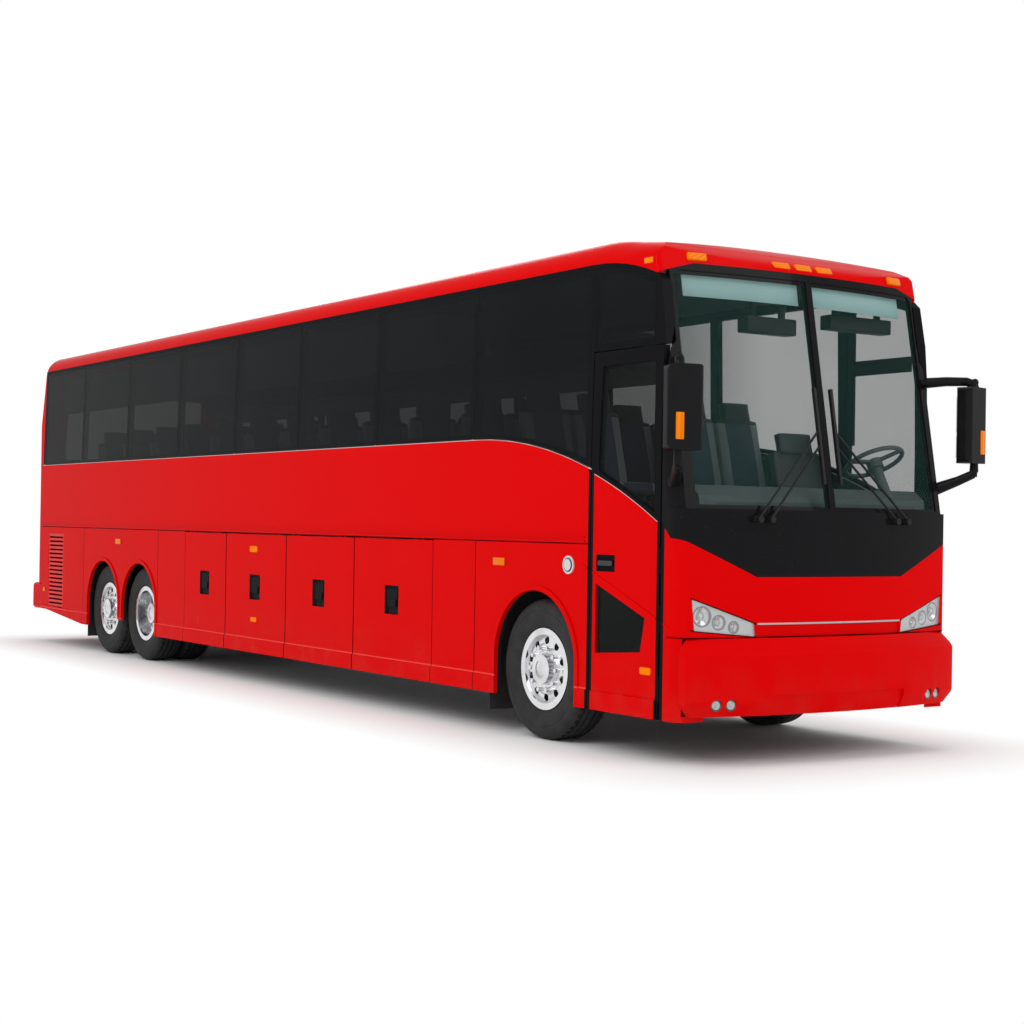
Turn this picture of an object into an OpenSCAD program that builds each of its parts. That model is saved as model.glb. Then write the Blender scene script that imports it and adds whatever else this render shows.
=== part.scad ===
// Three-axle touring coach, built as an assembly of separate pieces.
// +X points forward, +Y to the left, +Z up, and the ground is z = 0. Sizes in mm.

/* [Body] */
// Width over the side panels
body_w = 2590; // [2560:5:2600]
// Height of the roof's centre line
roof_h = 3750; // [3720:5:3780]
// Window bottom line along the side
belt_z = 2310; // [2250:5:2360]
// Rise of the roof above the gutter, where the side wall ends
roof_rise = 210; // [200:5:230]
// Thickness of walls, doors and roof
wall_t = 50; // [46:1:56]
// How far the side windows lean in at the gutter
side_lean = 30; // [20:1:40]
// Thickness of the window panes
glass_t = 12; // [8:1:16]
// Bottom of the skirt panels
skirt_z = 310; // [290:5:330]
// Height of the skirt's raised band
skirt_h = 135; // [120:5:150]
// How far that band stands out
skirt_out = 12; // [8:1:16]
// Seam between the upper side and the lower doors
seam_z = 1505; // [1500:1:1520]
// Gap left at each side of a seam
panel_gap = 5; // [5:1:7]
// Rear face of the body
rear_x = -6825; // [-6850:5:-6800]
// Front face below the windscreen, on the centre line
nose_x = 6805; // [6795:5:6825]

/* [Front] */
// Radius of the front face seen from above
nose_r = 6200; // [5800:100:6400]
// Radius of the front corners
corner_r = 180; // [160:5:200]
// Windscreen rake
rake = 10; // [9:0.5:11]
// Bottom of the windscreen
screen_z = 1765; // [1750:5:1780]
// Lowest line of the black front panel
mask_z = 1300; // [1280:5:1320]
// Half width of that lowest line
mask_half = 700; // [660:10:740]
// Radius of the falling window line at the front
fall_r = 4720; // [4600:20:4900]
// How far the bumper stands out of the front face
bumper_out = 120; // [110:2:130]
// Top of the front bumper
bumper_top = 880; // [875:1:884]
// Bottom of the front bumper
bumper_low = 350; // [340:5:365]

/* [Wheels] */
// Tyre outer diameter
tyre_d = 1076; // [1060:2:1084]
// Tyre section width
tyre_w = 314; // [300:2:320]
// Rim lip radius
lip_r = 312; // [308:1:316]
// Outer face of the tyres from the centre line
track_half = 1225; // [1215:1:1235]
// Front axle position
front_x = 4925; // [4910:5:4940]
// Drive axle position
drive_x = -3165; // [-3180:5:-3150]
// Tag axle position
tag_x = -4325; // [-4340:5:-4310]
// Wheel arch radius, front
arch_front_r = 540; // [530:1:550]
// Wheel arch radius, rear pair
arch_rear_r = 515; // [505:1:525]
// Height of the arch centres
arch_z = 600; // [590:2:610]
// Wheel nuts on each wheel
nuts = 10; // [8:1:10]

/* [Doors] */
// Rear edge of the entry door opening
door_x0 = 5625; // [5615:5:5640]
// Front edge of the entry door opening
door_x1 = 6445; // [6430:5:6450]
// Drop from the gutter to the entry door's opening
door_drop = 640; // [610:5:670]
// First seam of the luggage doors
bay_x0 = -1825; // [-1840:5:-1810]
// Second seam of the luggage doors
bay_x1 = -745; // [-780:5:-700]
// Third seam of the luggage doors
bay_x2 = 655; // [620:5:690]
// Fourth seam of the luggage doors
bay_x3 = 2035; // [2000:5:2070]
// Last seam of the luggage doors
bay_x4 = 3415; // [3390:5:3430]
// Bottom of the engine door's opening
hatch_z0 = 800; // [780:5:830]
// Top of the engine door's opening
hatch_z1 = 1900; // [1850:5:1950]
// Half width of the engine door's opening
hatch_y = 900; // [860:5:920]

/* [Cabin] */
// Passenger floor
deck_z = 1500; // [1490:1:1500]
// Driver's platform
cab_z = 1200; // [1180:5:1220]
// Seat rows
rows = 12; // [10:1:12]
// Distance between seat rows
row_pitch = 850; // [800:5:860]
// Height of the steering wheel's hub
steer_z = 2150; // [2120:5:2180]
// Tilt of the steering wheel
steer_tilt = 28; // [22:1:32]

/* [Hidden] */
$fn = 48;
fine = 400;
far = 2000;
half = body_w / 2;
inner = half - wall_t;
gutter_z = roof_h - roof_rise;
door_top = gutter_z - door_drop;
rack_low = gutter_z - 590;
rack_top = gutter_z - 140;
seat_gap = 0.3;
shoulder_r = 200;
gutter_step = 6;
shoulder_y = half - side_lean - gutter_step - shoulder_r;
shoulder_z = roof_h - 230;
crown_r = 16000;
corner_x = nose_x - 255;
cap_x = nose_x - 790;
cap_z = roof_h - 488;
cap_r = 500;
dip_x = nose_x - 475;
dip_half = 1000;
brow_z = gutter_z - 55;
brow_back = 30;
brow_x = nose_x - brow_back;
frame_x = door_x1 + 8;
cap_seam_x = door_x0 - 25;
gutter_fall = 3900;
fall_x = front_x - 850;
mask_side_z = mask_z + 260;
glass_drop = 42;
glass_edge = 40;
post_half = 60;
pane_gap = 7;
screen_top = brow_z - 55;
tail_x = rear_x + 225;
tail_seam_x = rear_x + 625;
tail_r = 150;
slope_x = -5005;
slope_rise = 140;
axle_z = tyre_d / 2;
wheel_y = track_half - tyre_w / 2;
dual_y = wheel_y - tyre_w - 31;
king_y = wheel_y - 200;
disc_y = tyre_w / 2 - 52;
dish_y = -60;
bore_r = 60;
pin_r = 25;
hinge_r = 5;
hinge_gap = 0.15;
lift_z = seam_z - 6;
swing_r = 6;
swing_gap = 8;
rail_z = 580;
rear_rail_z = 680;
rail_y = 380;
rail_w = 80;
post_w = 90;
bay_half = inner - 8;
bay_z = 400;
deck_t = 60;
well_x0 = door_x0 - 45;
well_x1 = door_x1 - 20;
well_y = 470;
stairs = 4;
stair_z = 400;
stair_t = 40;
dash_x = nose_x - 165;
steer_x = nose_x - 405;
steer_y = 780;
grille_x = tail_x + 275;
grille_z = 445;
grille_w = 560;
grille_h = 970;
slats = 18;
lip_w = 40;
lip_out = 12;
groove = 6;
bumper_x = nose_x + bumper_out;
bumper_r = 4508;
bumper_t = 120;
bumper_x0 = nose_x - 145;
fog_z = bumper_low + 82;
fog_r = 40;
tail_bumper_x = rear_x - 100;
tail_bumper_z = 420;
tail_bumper_top = 760;
mirror_x = nose_x - 10;
mirror_y = half + 105;
mirror_w = 265;
mirror_d = 130;
mirror_round = 42;
mirror_turn = 12;
mirror_z = 2150;
mirror_h = 575;
mirror_arm_y = mirror_y + 35;
seat_foot_h = 400;
wiper_y = 80;
wiper_z = screen_z - 65;
flap_x = 685;
side_lamp_out = 14;
bay_seams = [bay_x0, bay_x1, bay_x2, bay_x3, bay_x4];
pane_seams = [rear_x + 305, -5125, -3605, -2085, -595, 855, 2395, 4005, cap_seam_x];
arches = [[front_x, arch_front_r], [drive_x, arch_rear_r], [tag_x, arch_rear_r]];
panel_grooves = [slope_x, -2595, 4075];
// Amber lamps on both sides: [x, z, width, height]
side_lamps = [[-3825, 1355, 160, 60], [4425, 1345, 160, 60], [-6475, 685, 70, 50]];
// Headlamp bowls: [y, z, radius]
bowls = [[1120, 1030, 66], [990, 988, 48], [872, 955, 38]];
// Wiper arms: [pivot y, height along the screen where the arm meets the blade]
wiper_arms = [[610, 470], [720, 580]];

// Window bottom line and gutter line as heights over x
function belt(x) = x < fall_x ? belt_z : belt_z - fall_r + sqrt(fall_r * fall_r - pow(x - fall_x, 2));
function gutter(x) = x < cap_seam_x ? gutter_z : gutter_z - pow(x - cap_seam_x, 2) / gutter_fall;
function wall_y(z) = inner - side_lean * (z - belt_z) / (gutter_z - belt_z);
function nose(y) = nose_x - nose_r + sqrt(nose_r * nose_r - y * y);
function crease(x) = 1350 - (x - door_x0 + 90) * 0.396;
function steps(a, b, n) = [for (i = [0:n]) a + (b - a) * i / n];

// A flat shape drawn in (y, z) and run along x
module along_x(x0, x1) {
  translate([x0, 0, 0]) rotate([90, 0, 90]) linear_extrude(x1 - x0) children();
}

// A flat shape drawn in (x, z) and run along y
module along_y(y0, y1) {
  translate([0, y1, 0]) rotate([90, 0, 0]) linear_extrude(y1 - y0) children();
}

// A flat shape drawn in (x, y) and run along z
module along_z(z0, z1) {
  translate([0, 0, z0]) linear_extrude(z1 - z0) children();
}

// A box given by its low and high corners
module box(a, b) {
  translate(a) cube(b - a);
}

// A box on side s, between two distances y0 < y1 from the centre line
module side_box(s, x0, x1, y0, y1, z0, z1) {
  box([x0, s > 0 ? y0 : -y1, z0], [x1, s > 0 ? y1 : -y0, z1]);
}

// A flat shape drawn in (x, z) and run outwards on side s, between two distances from the centre line
module side_plate(s, y0, y1) {
  along_y(s > 0 ? y0 : -y1, s > 0 ? y1 : -y0) children();
}

// A rod along x, y or z
module rod_x(x0, x1, y, z, r) {
  translate([x0, y, z]) rotate([0, 90, 0]) cylinder(h = x1 - x0, r = r);
}

module rod_y(s, y0, y1, x, z, r) {
  translate([x, s * y0, z]) rotate([-90 * s, 0, 0]) cylinder(h = y1 - y0, r = r);
}

module rod_z(z0, z1, x, y, r) {
  translate([x, y, z0]) cylinder(h = z1 - z0, r = r);
}

// A round bar from one point to another
module bar(a, b, r) {
  d = b - a;
  l = norm(d);
  translate(a) rotate([0, acos(d[2] / l), atan2(d[1], d[0])]) cylinder(h = l, r = r);
}

// A rectangle with round corners, given by its low corner and size
module rounded(x, z, w, h, r) {
  translate([x + r, z]) square([w - 2 * r, h]);
  translate([x, z + r]) square([w, h - 2 * r]);
  for (i = [r, w - r], j = [r, h - r]) translate([x + i, z + j]) circle(r);
}

// Body section across the coach, taken in by d
module section(d) {
  w = half - d;
  intersection() {
    union() {
      polygon([[-w, 0], [w, 0], [w, belt_z], [w - side_lean, gutter_z],
        [side_lean - w, gutter_z], [-w, belt_z]]);
      for (s = [-1, 1]) translate([s * shoulder_y, shoulder_z]) circle(shoulder_r - d);
      translate([-shoulder_y, shoulder_z - 40]) square([2 * shoulder_y, 280]);
    }
    translate([0, roof_h - crown_r]) circle(crown_r - d, $fn = fine);
  }
}

// Front end seen from above, taken in by d
module plan_front(d) {
  w = half - d;
  cy = half - corner_r;
  x0 = front_x - 300;
  intersection() {
    union() {
      translate([x0, -w]) square([corner_x - x0, 2 * w]);
      translate([x0, -cy]) square([2600, 2 * cy]);
      for (s = [-1, 1]) translate([corner_x, s * cy]) circle(corner_r - d, $fn = 160);
    }
    translate([nose_x - nose_r, 0]) circle(nose_r - d, $fn = fine);
  }
}

// Rear end seen from above, taken in by d
module plan_rear(d) {
  w = half - d;
  translate([rear_x + tail_r, -w]) square([far, 2 * w]);
  translate([rear_x + d, tail_r - half]) square([far, 2 * (half - tail_r)]);
  for (s = [-1, 1]) translate([rear_x + tail_r, s * (half - tail_r)]) circle(tail_r - d);
}

// Tips a piece back by the windscreen's rake about the windscreen's foot
module raked() {
  translate([brow_x, 0, screen_z]) rotate([0, -rake, 0]) translate([-brow_x, 0, 0]) children();
}

// Upper front, from the windscreen's foot to the roof, taken in by d
module upper_front(d, x0) {
  intersection() {
    along_x(x0, nose_x + 200) section(d);
    raked() translate([-brow_back, 0, 0]) along_z(-700, roof_h) plan_front(d);
  }
}

// Lower front, below the windscreen's foot, taken in by d
module lower_front(d, x0) {
  intersection() {
    along_x(x0, nose_x + 200) translate([d - half, 0]) square([2 * (half - d), 3000]);
    along_z(-100, 3000) plan_front(d);
  }
}

// Shell of the lower front between two depths
module lower_skin(d0, d1, x0) {
  difference() {
    lower_front(d0, x0);
    lower_front(d1, x0 - 10);
  }
}

// Shell of the upper front between two depths
module upper_skin(d0, d1, x0) {
  difference() {
    upper_front(d0, x0);
    upper_front(d1, x0 - 10);
  }
}

// The region above the line where the black front panel meets the paint, front and sides
module above_line() {
  k = (mask_side_z - mask_z) / (half - mask_half);
  y1 = half + 100;
  z1 = mask_z + k * (y1 - mask_half);
  along_x(corner_x, nose_x + 300) polygon([[-y1, z1], [-mask_half, mask_z], [mask_half, mask_z], [y1, z1],
    [y1, roof_h + 50], [-y1, roof_h + 50]]);
  along_y(-far, far) polygon([[frame_x - 300, belt(frame_x)], [frame_x, belt(frame_x)],
    [corner_x, mask_side_z], [corner_x, roof_h + 50], [frame_x - 300, roof_h + 50]]);
}

// The region above the gutter line at the front, seen from the side and then from the front
module above_gutter() {
  low = gutter(dip_x);
  along_y(-far, far) polygon(concat([for (x = steps(cap_seam_x, dip_x, 6)) [x, gutter(x)]],
    [[dip_x, roof_h + 100], [cap_seam_x, roof_h + 100]]));
  along_x(dip_x, nose_x + 300) polygon([[-half, low], [-dip_half, brow_z], [dip_half, brow_z], [half, low],
    [half, roof_h + 100], [-half, roof_h + 100]]);
}

// Roof arc at the front end, seen from the side
module cap_arc(d) {
  translate([cap_x, cap_z]) circle(cap_r - d, $fn = 96);
  translate([cap_x - far, cap_z - 1000]) square([far, 1700]);
  translate([cap_x - far, cap_z - 1000]) square([far + 1200, 1000]);
}

// Front roof solid, taken in by d
module cap_solid(d, x0) {
  intersection() {
    upper_front(d, x0);
    along_y(-far, far) cap_arc(d);
  }
}

// Rear end seen from the side, taken in by d
module tail_profile(d) {
  top_r = 305;
  top_x = rear_x + 505;
  top_z = roof_h + 13 - top_r;
  intersection() {
    polygon([[rear_x + 1800, 0], [rear_x + d, 0], [rear_x + d, belt_z + 40], [rear_x + d + 264, roof_h + 50],
      [rear_x + 1800, roof_h + 50]]);
    union() {
      translate([rear_x - 200, 0]) square([3000, top_z]);
      translate([top_x, top_z - 400]) square([far, 900]);
      translate([top_x, top_z]) circle(top_r - d);
    }
  }
}

// Rear shell solid, taken in by d
module tail(d) {
  intersection() {
    along_x(rear_x - 200, tail_seam_x) section(d);
    along_y(-far, far) tail_profile(d);
    along_z(0, roof_h + 200) plan_rear(d);
  }
}

// Round-topped opening of one wheel arch, let out by d
module arch(a, d) {
  translate([a[0], arch_z]) circle(a[1] + d, $fn = 96);
  translate([a[0] - a[1] - d, 0]) square([2 * (a[1] + d), arch_z]);
}

// Slanted cooling slots, drawn in (depth, z) and run along the panel
module slot(z, h, t) {
  polygon([[-1, z], [t + 1, z + h], [t + 1, z + 2 * h], [-1, z + h]]);
}

// Side wall drawn in (x, z), before its windows are cut
module wall_face(right) {
  difference() {
    polygon(concat([[tail_x, skirt_z + slope_rise], [slope_x, skirt_z], [door_x0, skirt_z]],
      right ? [[door_x0, door_top], [frame_x, door_top]] : [[frame_x, skirt_z]],
      [for (x = concat([frame_x], steps(dip_x, cap_seam_x, 6))) [x, gutter(x)]], [[tail_x, gutter_z]]));
    translate([bay_x0, 0]) square([bay_x4 - bay_x0, seam_z]);
    for (a = arches) arch(a, 0);
    translate([grille_x, grille_z]) square([grille_w, grille_h]);
    translate([tag_x, 0]) square([drive_x - tag_x, skirt_z + skirt_h - 15]);
  }
}

// Cross-section of one side wall between two depths below the skin
module wall_section(d0, d1) {
  polygon([[half - d0, 0], [half - d0, belt_z], [half - side_lean - d0, gutter_z],
    [half - side_lean - d1, gutter_z], [half - d1, belt_z], [half - d1, 0]]);
}

// A layer of one side wall between two depths
module wall_layer(right, d0, d1) {
  mirror([0, right ? 1 : 0, 0]) along_x(tail_x, frame_x) wall_section(d0, d1);
}

// One bonded pane between two seams, drawn in (x, z)
module pane(x0, x1, low, high) {
  polygon(concat([for (x = steps(x0 + pane_gap, x1 - pane_gap, 6)) [x, belt(x) + low]],
    [for (x = steps(x1 - pane_gap, x0 + pane_gap, 6)) [x, gutter(x) - high]]));
}

// The pane over the entry door
module pane_over_door(in, high) {
  x0 = door_x0 + 14 + in;
  x1 = frame_x - 110 - in;
  polygon(concat([[x0, door_top + 14 + in], [x1, door_top + 14 + in]],
    [for (x = steps(x1, x0, 4)) [x, gutter(x) - high]]));
}

// All panes of one side
module panes(right) {
  for (i = [0:len(pane_seams) - 2]) pane(pane_seams[i], pane_seams[i + 1], 0, glass_drop);
  if (right) pane_over_door(0, glass_drop);
  else pane(cap_seam_x, frame_x - 20, 0, glass_drop);
}

// The openings behind the panes, with posts left between them
module window_holes(right) {
  in = post_half - pane_gap;
  for (i = [0:len(pane_seams) - 2])
    pane(pane_seams[i] + in, pane_seams[i + 1] - in, glass_edge, glass_drop + glass_edge);
  if (right) pane_over_door(glass_edge, glass_drop + glass_edge);
  else pane(cap_seam_x + in, frame_x - 20 - in, glass_edge, glass_drop + glass_edge);
}

// Raised skirt band along the bottom of the wall, drawn in (x, z)
module skirt_band() {
  top = skirt_z + skirt_h;
  x1 = tag_x - arch_rear_r;
  polygon([[tail_x, skirt_z + slope_rise], [slope_x, skirt_z], [x1, skirt_z], [x1, top], [tail_x, top + 45]]);
  for (x = [[drive_x + arch_rear_r, bay_x0], [bay_x4, front_x - arch_front_r],
    [front_x + arch_front_r, door_x0]])
    translate([x[0], skirt_z]) square([x[1] - x[0], skirt_h]);
}

// Raised body line from the front arch down to the headlamp, drawn in (x, z)
module crease_line(x0, x1) {
  polygon([[x0, crease(x0) - 7], [x1, crease(x1) - 7], [x1, crease(x1) + 7], [x0, crease(x0) + 7]]);
}

module side(right) {
  s = right ? -1 : 1;
  difference() {
    intersection() {
      wall_layer(right, 0, wall_t);
      along_y(-far, far) wall_face(right);
    }
    intersection() {
      wall_layer(right, -1, glass_t);
      along_y(-far, far) panes(right);
    }
    side_plate(s, 500, far) window_holes(right);
    for (x = panel_grooves)
      side_box(s, x - groove / 2, x + groove / 2, half - groove, far, skirt_z + skirt_h, seam_z);
    for (x = [[tail_x, bay_x0 - 1], [bay_x4 + 1, cap_seam_x]])
      side_box(s, x[0], x[1], half - groove, far, seam_z - groove, seam_z);
  }
  for (i = [0:3], e = [0, 1], k = [-1, 1]) lift_barrel(s, i, e, k * 55, 40, 1);
  side_plate(s, half, half + skirt_out) skirt_band();
  for (z = [seam_z + 7, seam_z + 40]) side_box(s, tail_x, door_x0 - 65, half, half + 10, z, z + 16);
  for (a = arches) side_plate(s, half, half + lip_out) difference() {
    arch(a, lip_w);
    arch(a, 0);
    translate([a[0] - 900, 0]) square([1800, skirt_z + skirt_h - 5]);
  }
  side_plate(s, half, half + 5) crease_line(front_x + arch_front_r + lip_w + 10, right ? door_x0 : frame_x);
  if (right) {
    rod_y(s, half, half + 10, front_x + 440, 1345, 68);
    rod_y(s, half, half + 16, front_x + 440, 1345, 48);
  }
}

// Cooling grilles in the walls beside the engine
module side_grilles() {
  pitch = (grille_h - 16) / slats;
  color("#c8000a") for (right = [0, 1]) mirror([0, right, 0]) difference() {
    side_box(1, grille_x, grille_x + grille_w, inner, half - 3, grille_z, grille_z + grille_h);
    for (i = [0:slats - 1]) along_x(grille_x + 25, grille_x + grille_w - 25)
      translate([half, 0]) mirror([1, 0]) slot(grille_z + 10 + i * pitch, pitch / 2 - 2, wall_t);
  }
}

// One hinge barrel of a luggage door: e picks the door's end, dx the place along it, up 1 the body's share
module lift_barrel(s, i, e, dx, l, up) {
  x = (e == 0 ? bay_seams[i] + 220 : bay_seams[i + 1] - 220) + dx;
  g = l / 2 - hinge_gap;
  translate([x - g, s * half, lift_z]) rotate([0, 90, 0]) cylinder(h = 2 * g, r = hinge_r, $fn = 24);
  side_box(s, x - g, x + g, half - hinge_r, half, up > 0 ? lift_z : lift_z - 10,
    up > 0 ? lift_z + 10 : lift_z);
}

module side_right() {
  color("#c8000a") side(true);
}

module side_left() {
  color("#c8000a") side(false);
}

module glass_side(right) {
  intersection() {
    wall_layer(right, 0, glass_t);
    along_y(-far, far) panes(right);
  }
}

module glass_right() {
  color("#15181a") glass_side(true);
}

module glass_left() {
  color("#15181a") glass_side(false);
}

module roof() {
  color("#c8000a") along_x(tail_seam_x, cap_seam_x) difference() {
    section(0);
    section(wall_t);
    translate([-far, 0]) square([2 * far, gutter_z]);
  }
}

module roof_cap() {
  color("#c8000a") intersection() {
    difference() {
      cap_solid(0, cap_seam_x);
      cap_solid(wall_t, cap_seam_x - 10);
    }
    above_gutter();
  }
}

module rear_window() {
  along_x(rear_x - 200, rear_x + 425) rounded(-950, belt_z + 90, 1900, gutter_z - belt_z - 380, 60);
}

module rear_cap() {
  color("#c8000a") engine_barrels(1);
  color("#c8000a") difference() {
    tail(0);
    translate([1, 0, 0]) tail(wall_t);
    box([tail_x, -far, 0], [tail_seam_x + 100, far, gutter_z]);
    box([rear_x - 200, -far, 0], [tail_seam_x, far, tail_bumper_top]);
    box([rear_x - 200, -hatch_y, hatch_z0], [rear_x + 125, hatch_y, hatch_z1]);
    rear_window();
  }
}

module rear_glass() {
  color("#15181a") intersection() {
    difference() {
      tail(wall_t - 20);
      translate([glass_t, 0, 0]) tail(wall_t - 20);
    }
    rear_window();
  }
}

module front_fascia() {
  color("#c8000a") entry_barrels(1);
  color("#c8000a") for (s = [-1, 1]) side_plate(s, half, half + 5) crease_line(frame_x, corner_x);
  color("#c8000a") difference() {
    intersection() {
      lower_skin(0, wall_t, frame_x);
      union() {
        box([frame_x, -far, bumper_top], [nose_x + 200, far, screen_z]);
        box([frame_x, -far, skirt_z], [bumper_x0, far, bumper_top]);
      }
    }
    above_line();
    lamp_pockets();
    intersection() {
      lower_skin(-1, 12, frame_x);
      box([corner_x, -mask_half + 10, bumper_top + 6], [nose_x + 200, mask_half - 10, 970]);
    }
  }
}

// Openings for the headlamps, run along x
module lamp_pockets() {
  along_x(corner_x + 10, nose_x + 200) for (s = [-1, 1])
    polygon([[s * 704, 890], [s * 715, 981], [s * 1210, 1150], [s * 1190, 934]]);
}

// Headlamp housings with their bowls and bulbs, under a clear cover
module headlamps() {
  cover = 16;
  deep = 20;
  color("#d8dde0") {
    difference() {
      intersection() {
        lower_skin(cover, wall_t - 4, corner_x - 50);
        lamp_pockets();
      }
      for (s = [-1, 1], b = bowls) translate([nose(b[0]) - cover - deep, s * b[0], b[1]]) rotate([0, 90, 0]) {
        cylinder(h = deep, r1 = 0.5 * b[2], r2 = b[2]);
        translate([0, 0, deep]) cylinder(h = 60, r = b[2]);
      }
    }
    for (s = [-1, 1], b = bowls)
      translate([nose(b[0]) - cover - deep, s * b[0], b[1]]) sphere(r = 0.3 * b[2]);
  }
}

module front_mask() {
  color("#0d0e10") difference() {
    union() {
      intersection() {
        lower_skin(0, wall_t, frame_x);
        above_line();
        box([frame_x, -far, 0], [nose_x + 200, far, screen_z]);
      }
      intersection() {
        upper_skin(0, wall_t, dip_x - 80);
        box([dip_x - 80, -far, screen_z], [nose_x + 200, far, brow_z + 40]);
      }
    }
    for (s = [-1, 1]) side_box(s, dip_x - 130, frame_x, half - 105, far, 0, roof_h + 200);
    above_gutter();
    screen_opening();
  }
}

// The two windscreen openings, run along x
module screen_opening() {
  along_x(dip_x - 30, nose_x + 200) for (s = [-1, 1])
    polygon([[s * 25, screen_z + 20], [s * 1180, screen_z + 20], [s * 1160, screen_top - 40],
      [s * 1120, screen_top], [s * 25, screen_top]]);
}

module windscreen() {
  color("#8fa6a0") intersection() {
    upper_skin(8, 8 + glass_t, dip_x - 30);
    screen_opening();
  }
}

// A ring section turned about the bumper's centre, drawn in (r, z)
module bumper_ring(a) {
  translate([bumper_x - bumper_r, 0, 0]) rotate([0, 0, -a])
    rotate_extrude(angle = 2 * a, $fn = fine) children();
}

// The fog lamps' round holes
module fog_holes(r) {
  for (s = [-1, 1], y = [955, 1065]) rod_x(bumper_x0 - 60, bumper_x + 100, s * y, fog_z, r);
}

module front_bumper() {
  r0 = bumper_r - 400;
  low = bumper_low;
  top = bumper_top;
  color("#c8000a") difference() {
    intersection() {
      bumper_ring(25) polygon([[r0, low], [bumper_r - 45, low], [bumper_r, low + 100], [bumper_r, top - 110],
        [bumper_r - 85, top], [r0, top]]);
      along_x(bumper_x0, bumper_x + 80) polygon([[-half + 70, low], [half - 70, low], [half, low + 80],
        [half, top - 80], [half - 60, top], [60 - half, top], [-half, top - 80], [-half, low + 80]]);
    }
    intersection() {
      translate([bumper_x - bumper_r, 0, 0]) cylinder(h = far, r = bumper_r - bumper_t, $fn = fine);
      box([bumper_x0 - 10, -half + 60, 0], [bumper_x + 80, half - 60, top - 40]);
    }
    bumper_ring(8) polygon([[bumper_r - 60, low - 10], [bumper_r + 50, low - 10], [bumper_r + 50, low + 140],
      [bumper_r - 15, low + 140], [bumper_r - 30, low + 60]]);
    fog_holes(fog_r);
  }
}

module fog_lamps() {
  color("#d8dde0") intersection() {
    bumper_ring(25) translate([bumper_r - 90, fog_z - 60]) square([75, 120]);
    fog_holes(fog_r);
  }
}

module rear_bumper() {
  color("#c8000a") difference() {
    along_x(tail_bumper_x, tail_x) rounded(-half, tail_bumper_z, body_w, tail_bumper_top - tail_bumper_z, 50);
    box([tail_bumper_x + 60, 60 - half, 0], [tail_x + 10, half - 60, tail_bumper_top - 60]);
    box([tail_bumper_x - 10, -300, 520], [tail_bumper_x + 8, 300, 680]);
    for (y = [-89, 89]) rod_x(tail_bumper_x - 10, tail_bumper_x + 70, y, 600, 4);
  }
}

module tail_lamps() {
  color("#b01010") for (s = [-1, 1], z = [1000, 1200, 1400]) {
    rod_x(rear_x - 14, rear_x, s * 1060, z, 80);
    rod_x(rear_x - 26, rear_x, s * 1060, z, 66);
  }
}

module marker_lamps() {
  color("#e07a10") {
    for (s = [-1, 1], m = side_lamps) side_plate(s, half, half + side_lamp_out)
      rounded(m[0] - m[2] / 2, m[1] - m[3] / 2, m[2], m[3], 18);
    difference() {
      union() {
        for (y = [-967, -210, 0, 210, 967]) translate([cap_x + 418, y, cap_z + 285]) rotate([0, 45, 0])
          translate([-30, -75, -60]) cube([60, 150, 76]);
        for (s = [-1, 1])
          side_plate(s, half - 160, half - 18) rounded(dip_x - 135, gutter_z - 62, 110, 46, 15);
      }
      cap_solid(0, cap_seam_x);
    }
  }
}

module mirror_one(s) {
  z1 = mirror_z + mirror_h;
  arm_z = z1 + 43;
  translate([mirror_x, s * mirror_y, 0]) rotate([0, 0, s * mirror_turn]) intersection() {
    along_z(mirror_z, z1) rounded(-mirror_d / 2, -mirror_w / 2, mirror_d, mirror_w, mirror_round);
    along_x(-mirror_d, mirror_d) rounded(-mirror_w / 2, mirror_z, mirror_w, mirror_h, mirror_round);
  }
  rod_z(mirror_z - 100, mirror_z + 20, mirror_x, s * mirror_arm_y, 26);
  bar([mirror_x, s * mirror_arm_y, mirror_z - 80], [frame_x + 50, s * (half - 65), mirror_z - 220], 30);
  rod_z(z1 - 20, arm_z, mirror_x, s * mirror_arm_y, 26);
  translate([mirror_x, s * mirror_arm_y, arm_z]) sphere(r = 28);
  bar([mirror_x, s * mirror_arm_y, arm_z], [frame_x + 20, s * (half - 95), arm_z], 24);
}

module mirrors() {
  color("#0d0e10") difference() {
    for (s = [-1, 1]) mirror_one(s);
    upper_front(-seat_gap, frame_x - 450);
  }
}

module wipers() {
  color("#0d0e10") for (s = [-1, 1]) {
    difference() {
      for (a = wiper_arms) rod_x(nose_x - 105, nose_x + 25, s * a[0], wiper_z, 24);
      lower_front(-seat_gap, frame_x - 50);
    }
    raked() {
      for (a = wiper_arms)
        bar([brow_x + 24, s * a[0], wiper_z - screen_z + 5], [brow_x + 24, s * wiper_y, a[1]], 9);
      translate([brow_x + 13, s * wiper_y - 12, 190]) cube([26, 24, 700]);
    }
  }
}

module mud_flaps() {
  color("#101010") for (s = [-1, 1], x = [front_x - flap_x - 10, tag_x - arch_rear_r - 120])
    side_box(s, x, x + 10, 860, inner, 165, 640);
}

module underframe() {
  top = rail_z + 180;
  rear_top = rear_rail_z + 160;
  color("#202224") {
    for (s = [-1, 1]) {
      side_box(s, bay_x4 + post_w / 2, dash_x, rail_y, rail_y + rail_w, rail_z, top);
      side_box(s, bay_x4 + 200, bay_x4 + 360, rail_y, rail_y + rail_w, rail_z - 20, rail_z + 10);
      side_box(s, tail_x + 10, bay_x0 - post_w / 2, rail_y, rail_y + rail_w, rear_rail_z, rear_top);
    }
    for (x = [bay_x4 + 145, front_x - 825, front_x + 775, dash_x - 140])
      box([x, -rail_y, rail_z + 30], [x + 80, rail_y, top - 30]);
    for (x = [tail_x + 10, tag_x - 805, drive_x + 665])
      box([x, -rail_y, rear_rail_z + 20], [x + 80, rail_y, rear_top - 20]);
  }
}

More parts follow.
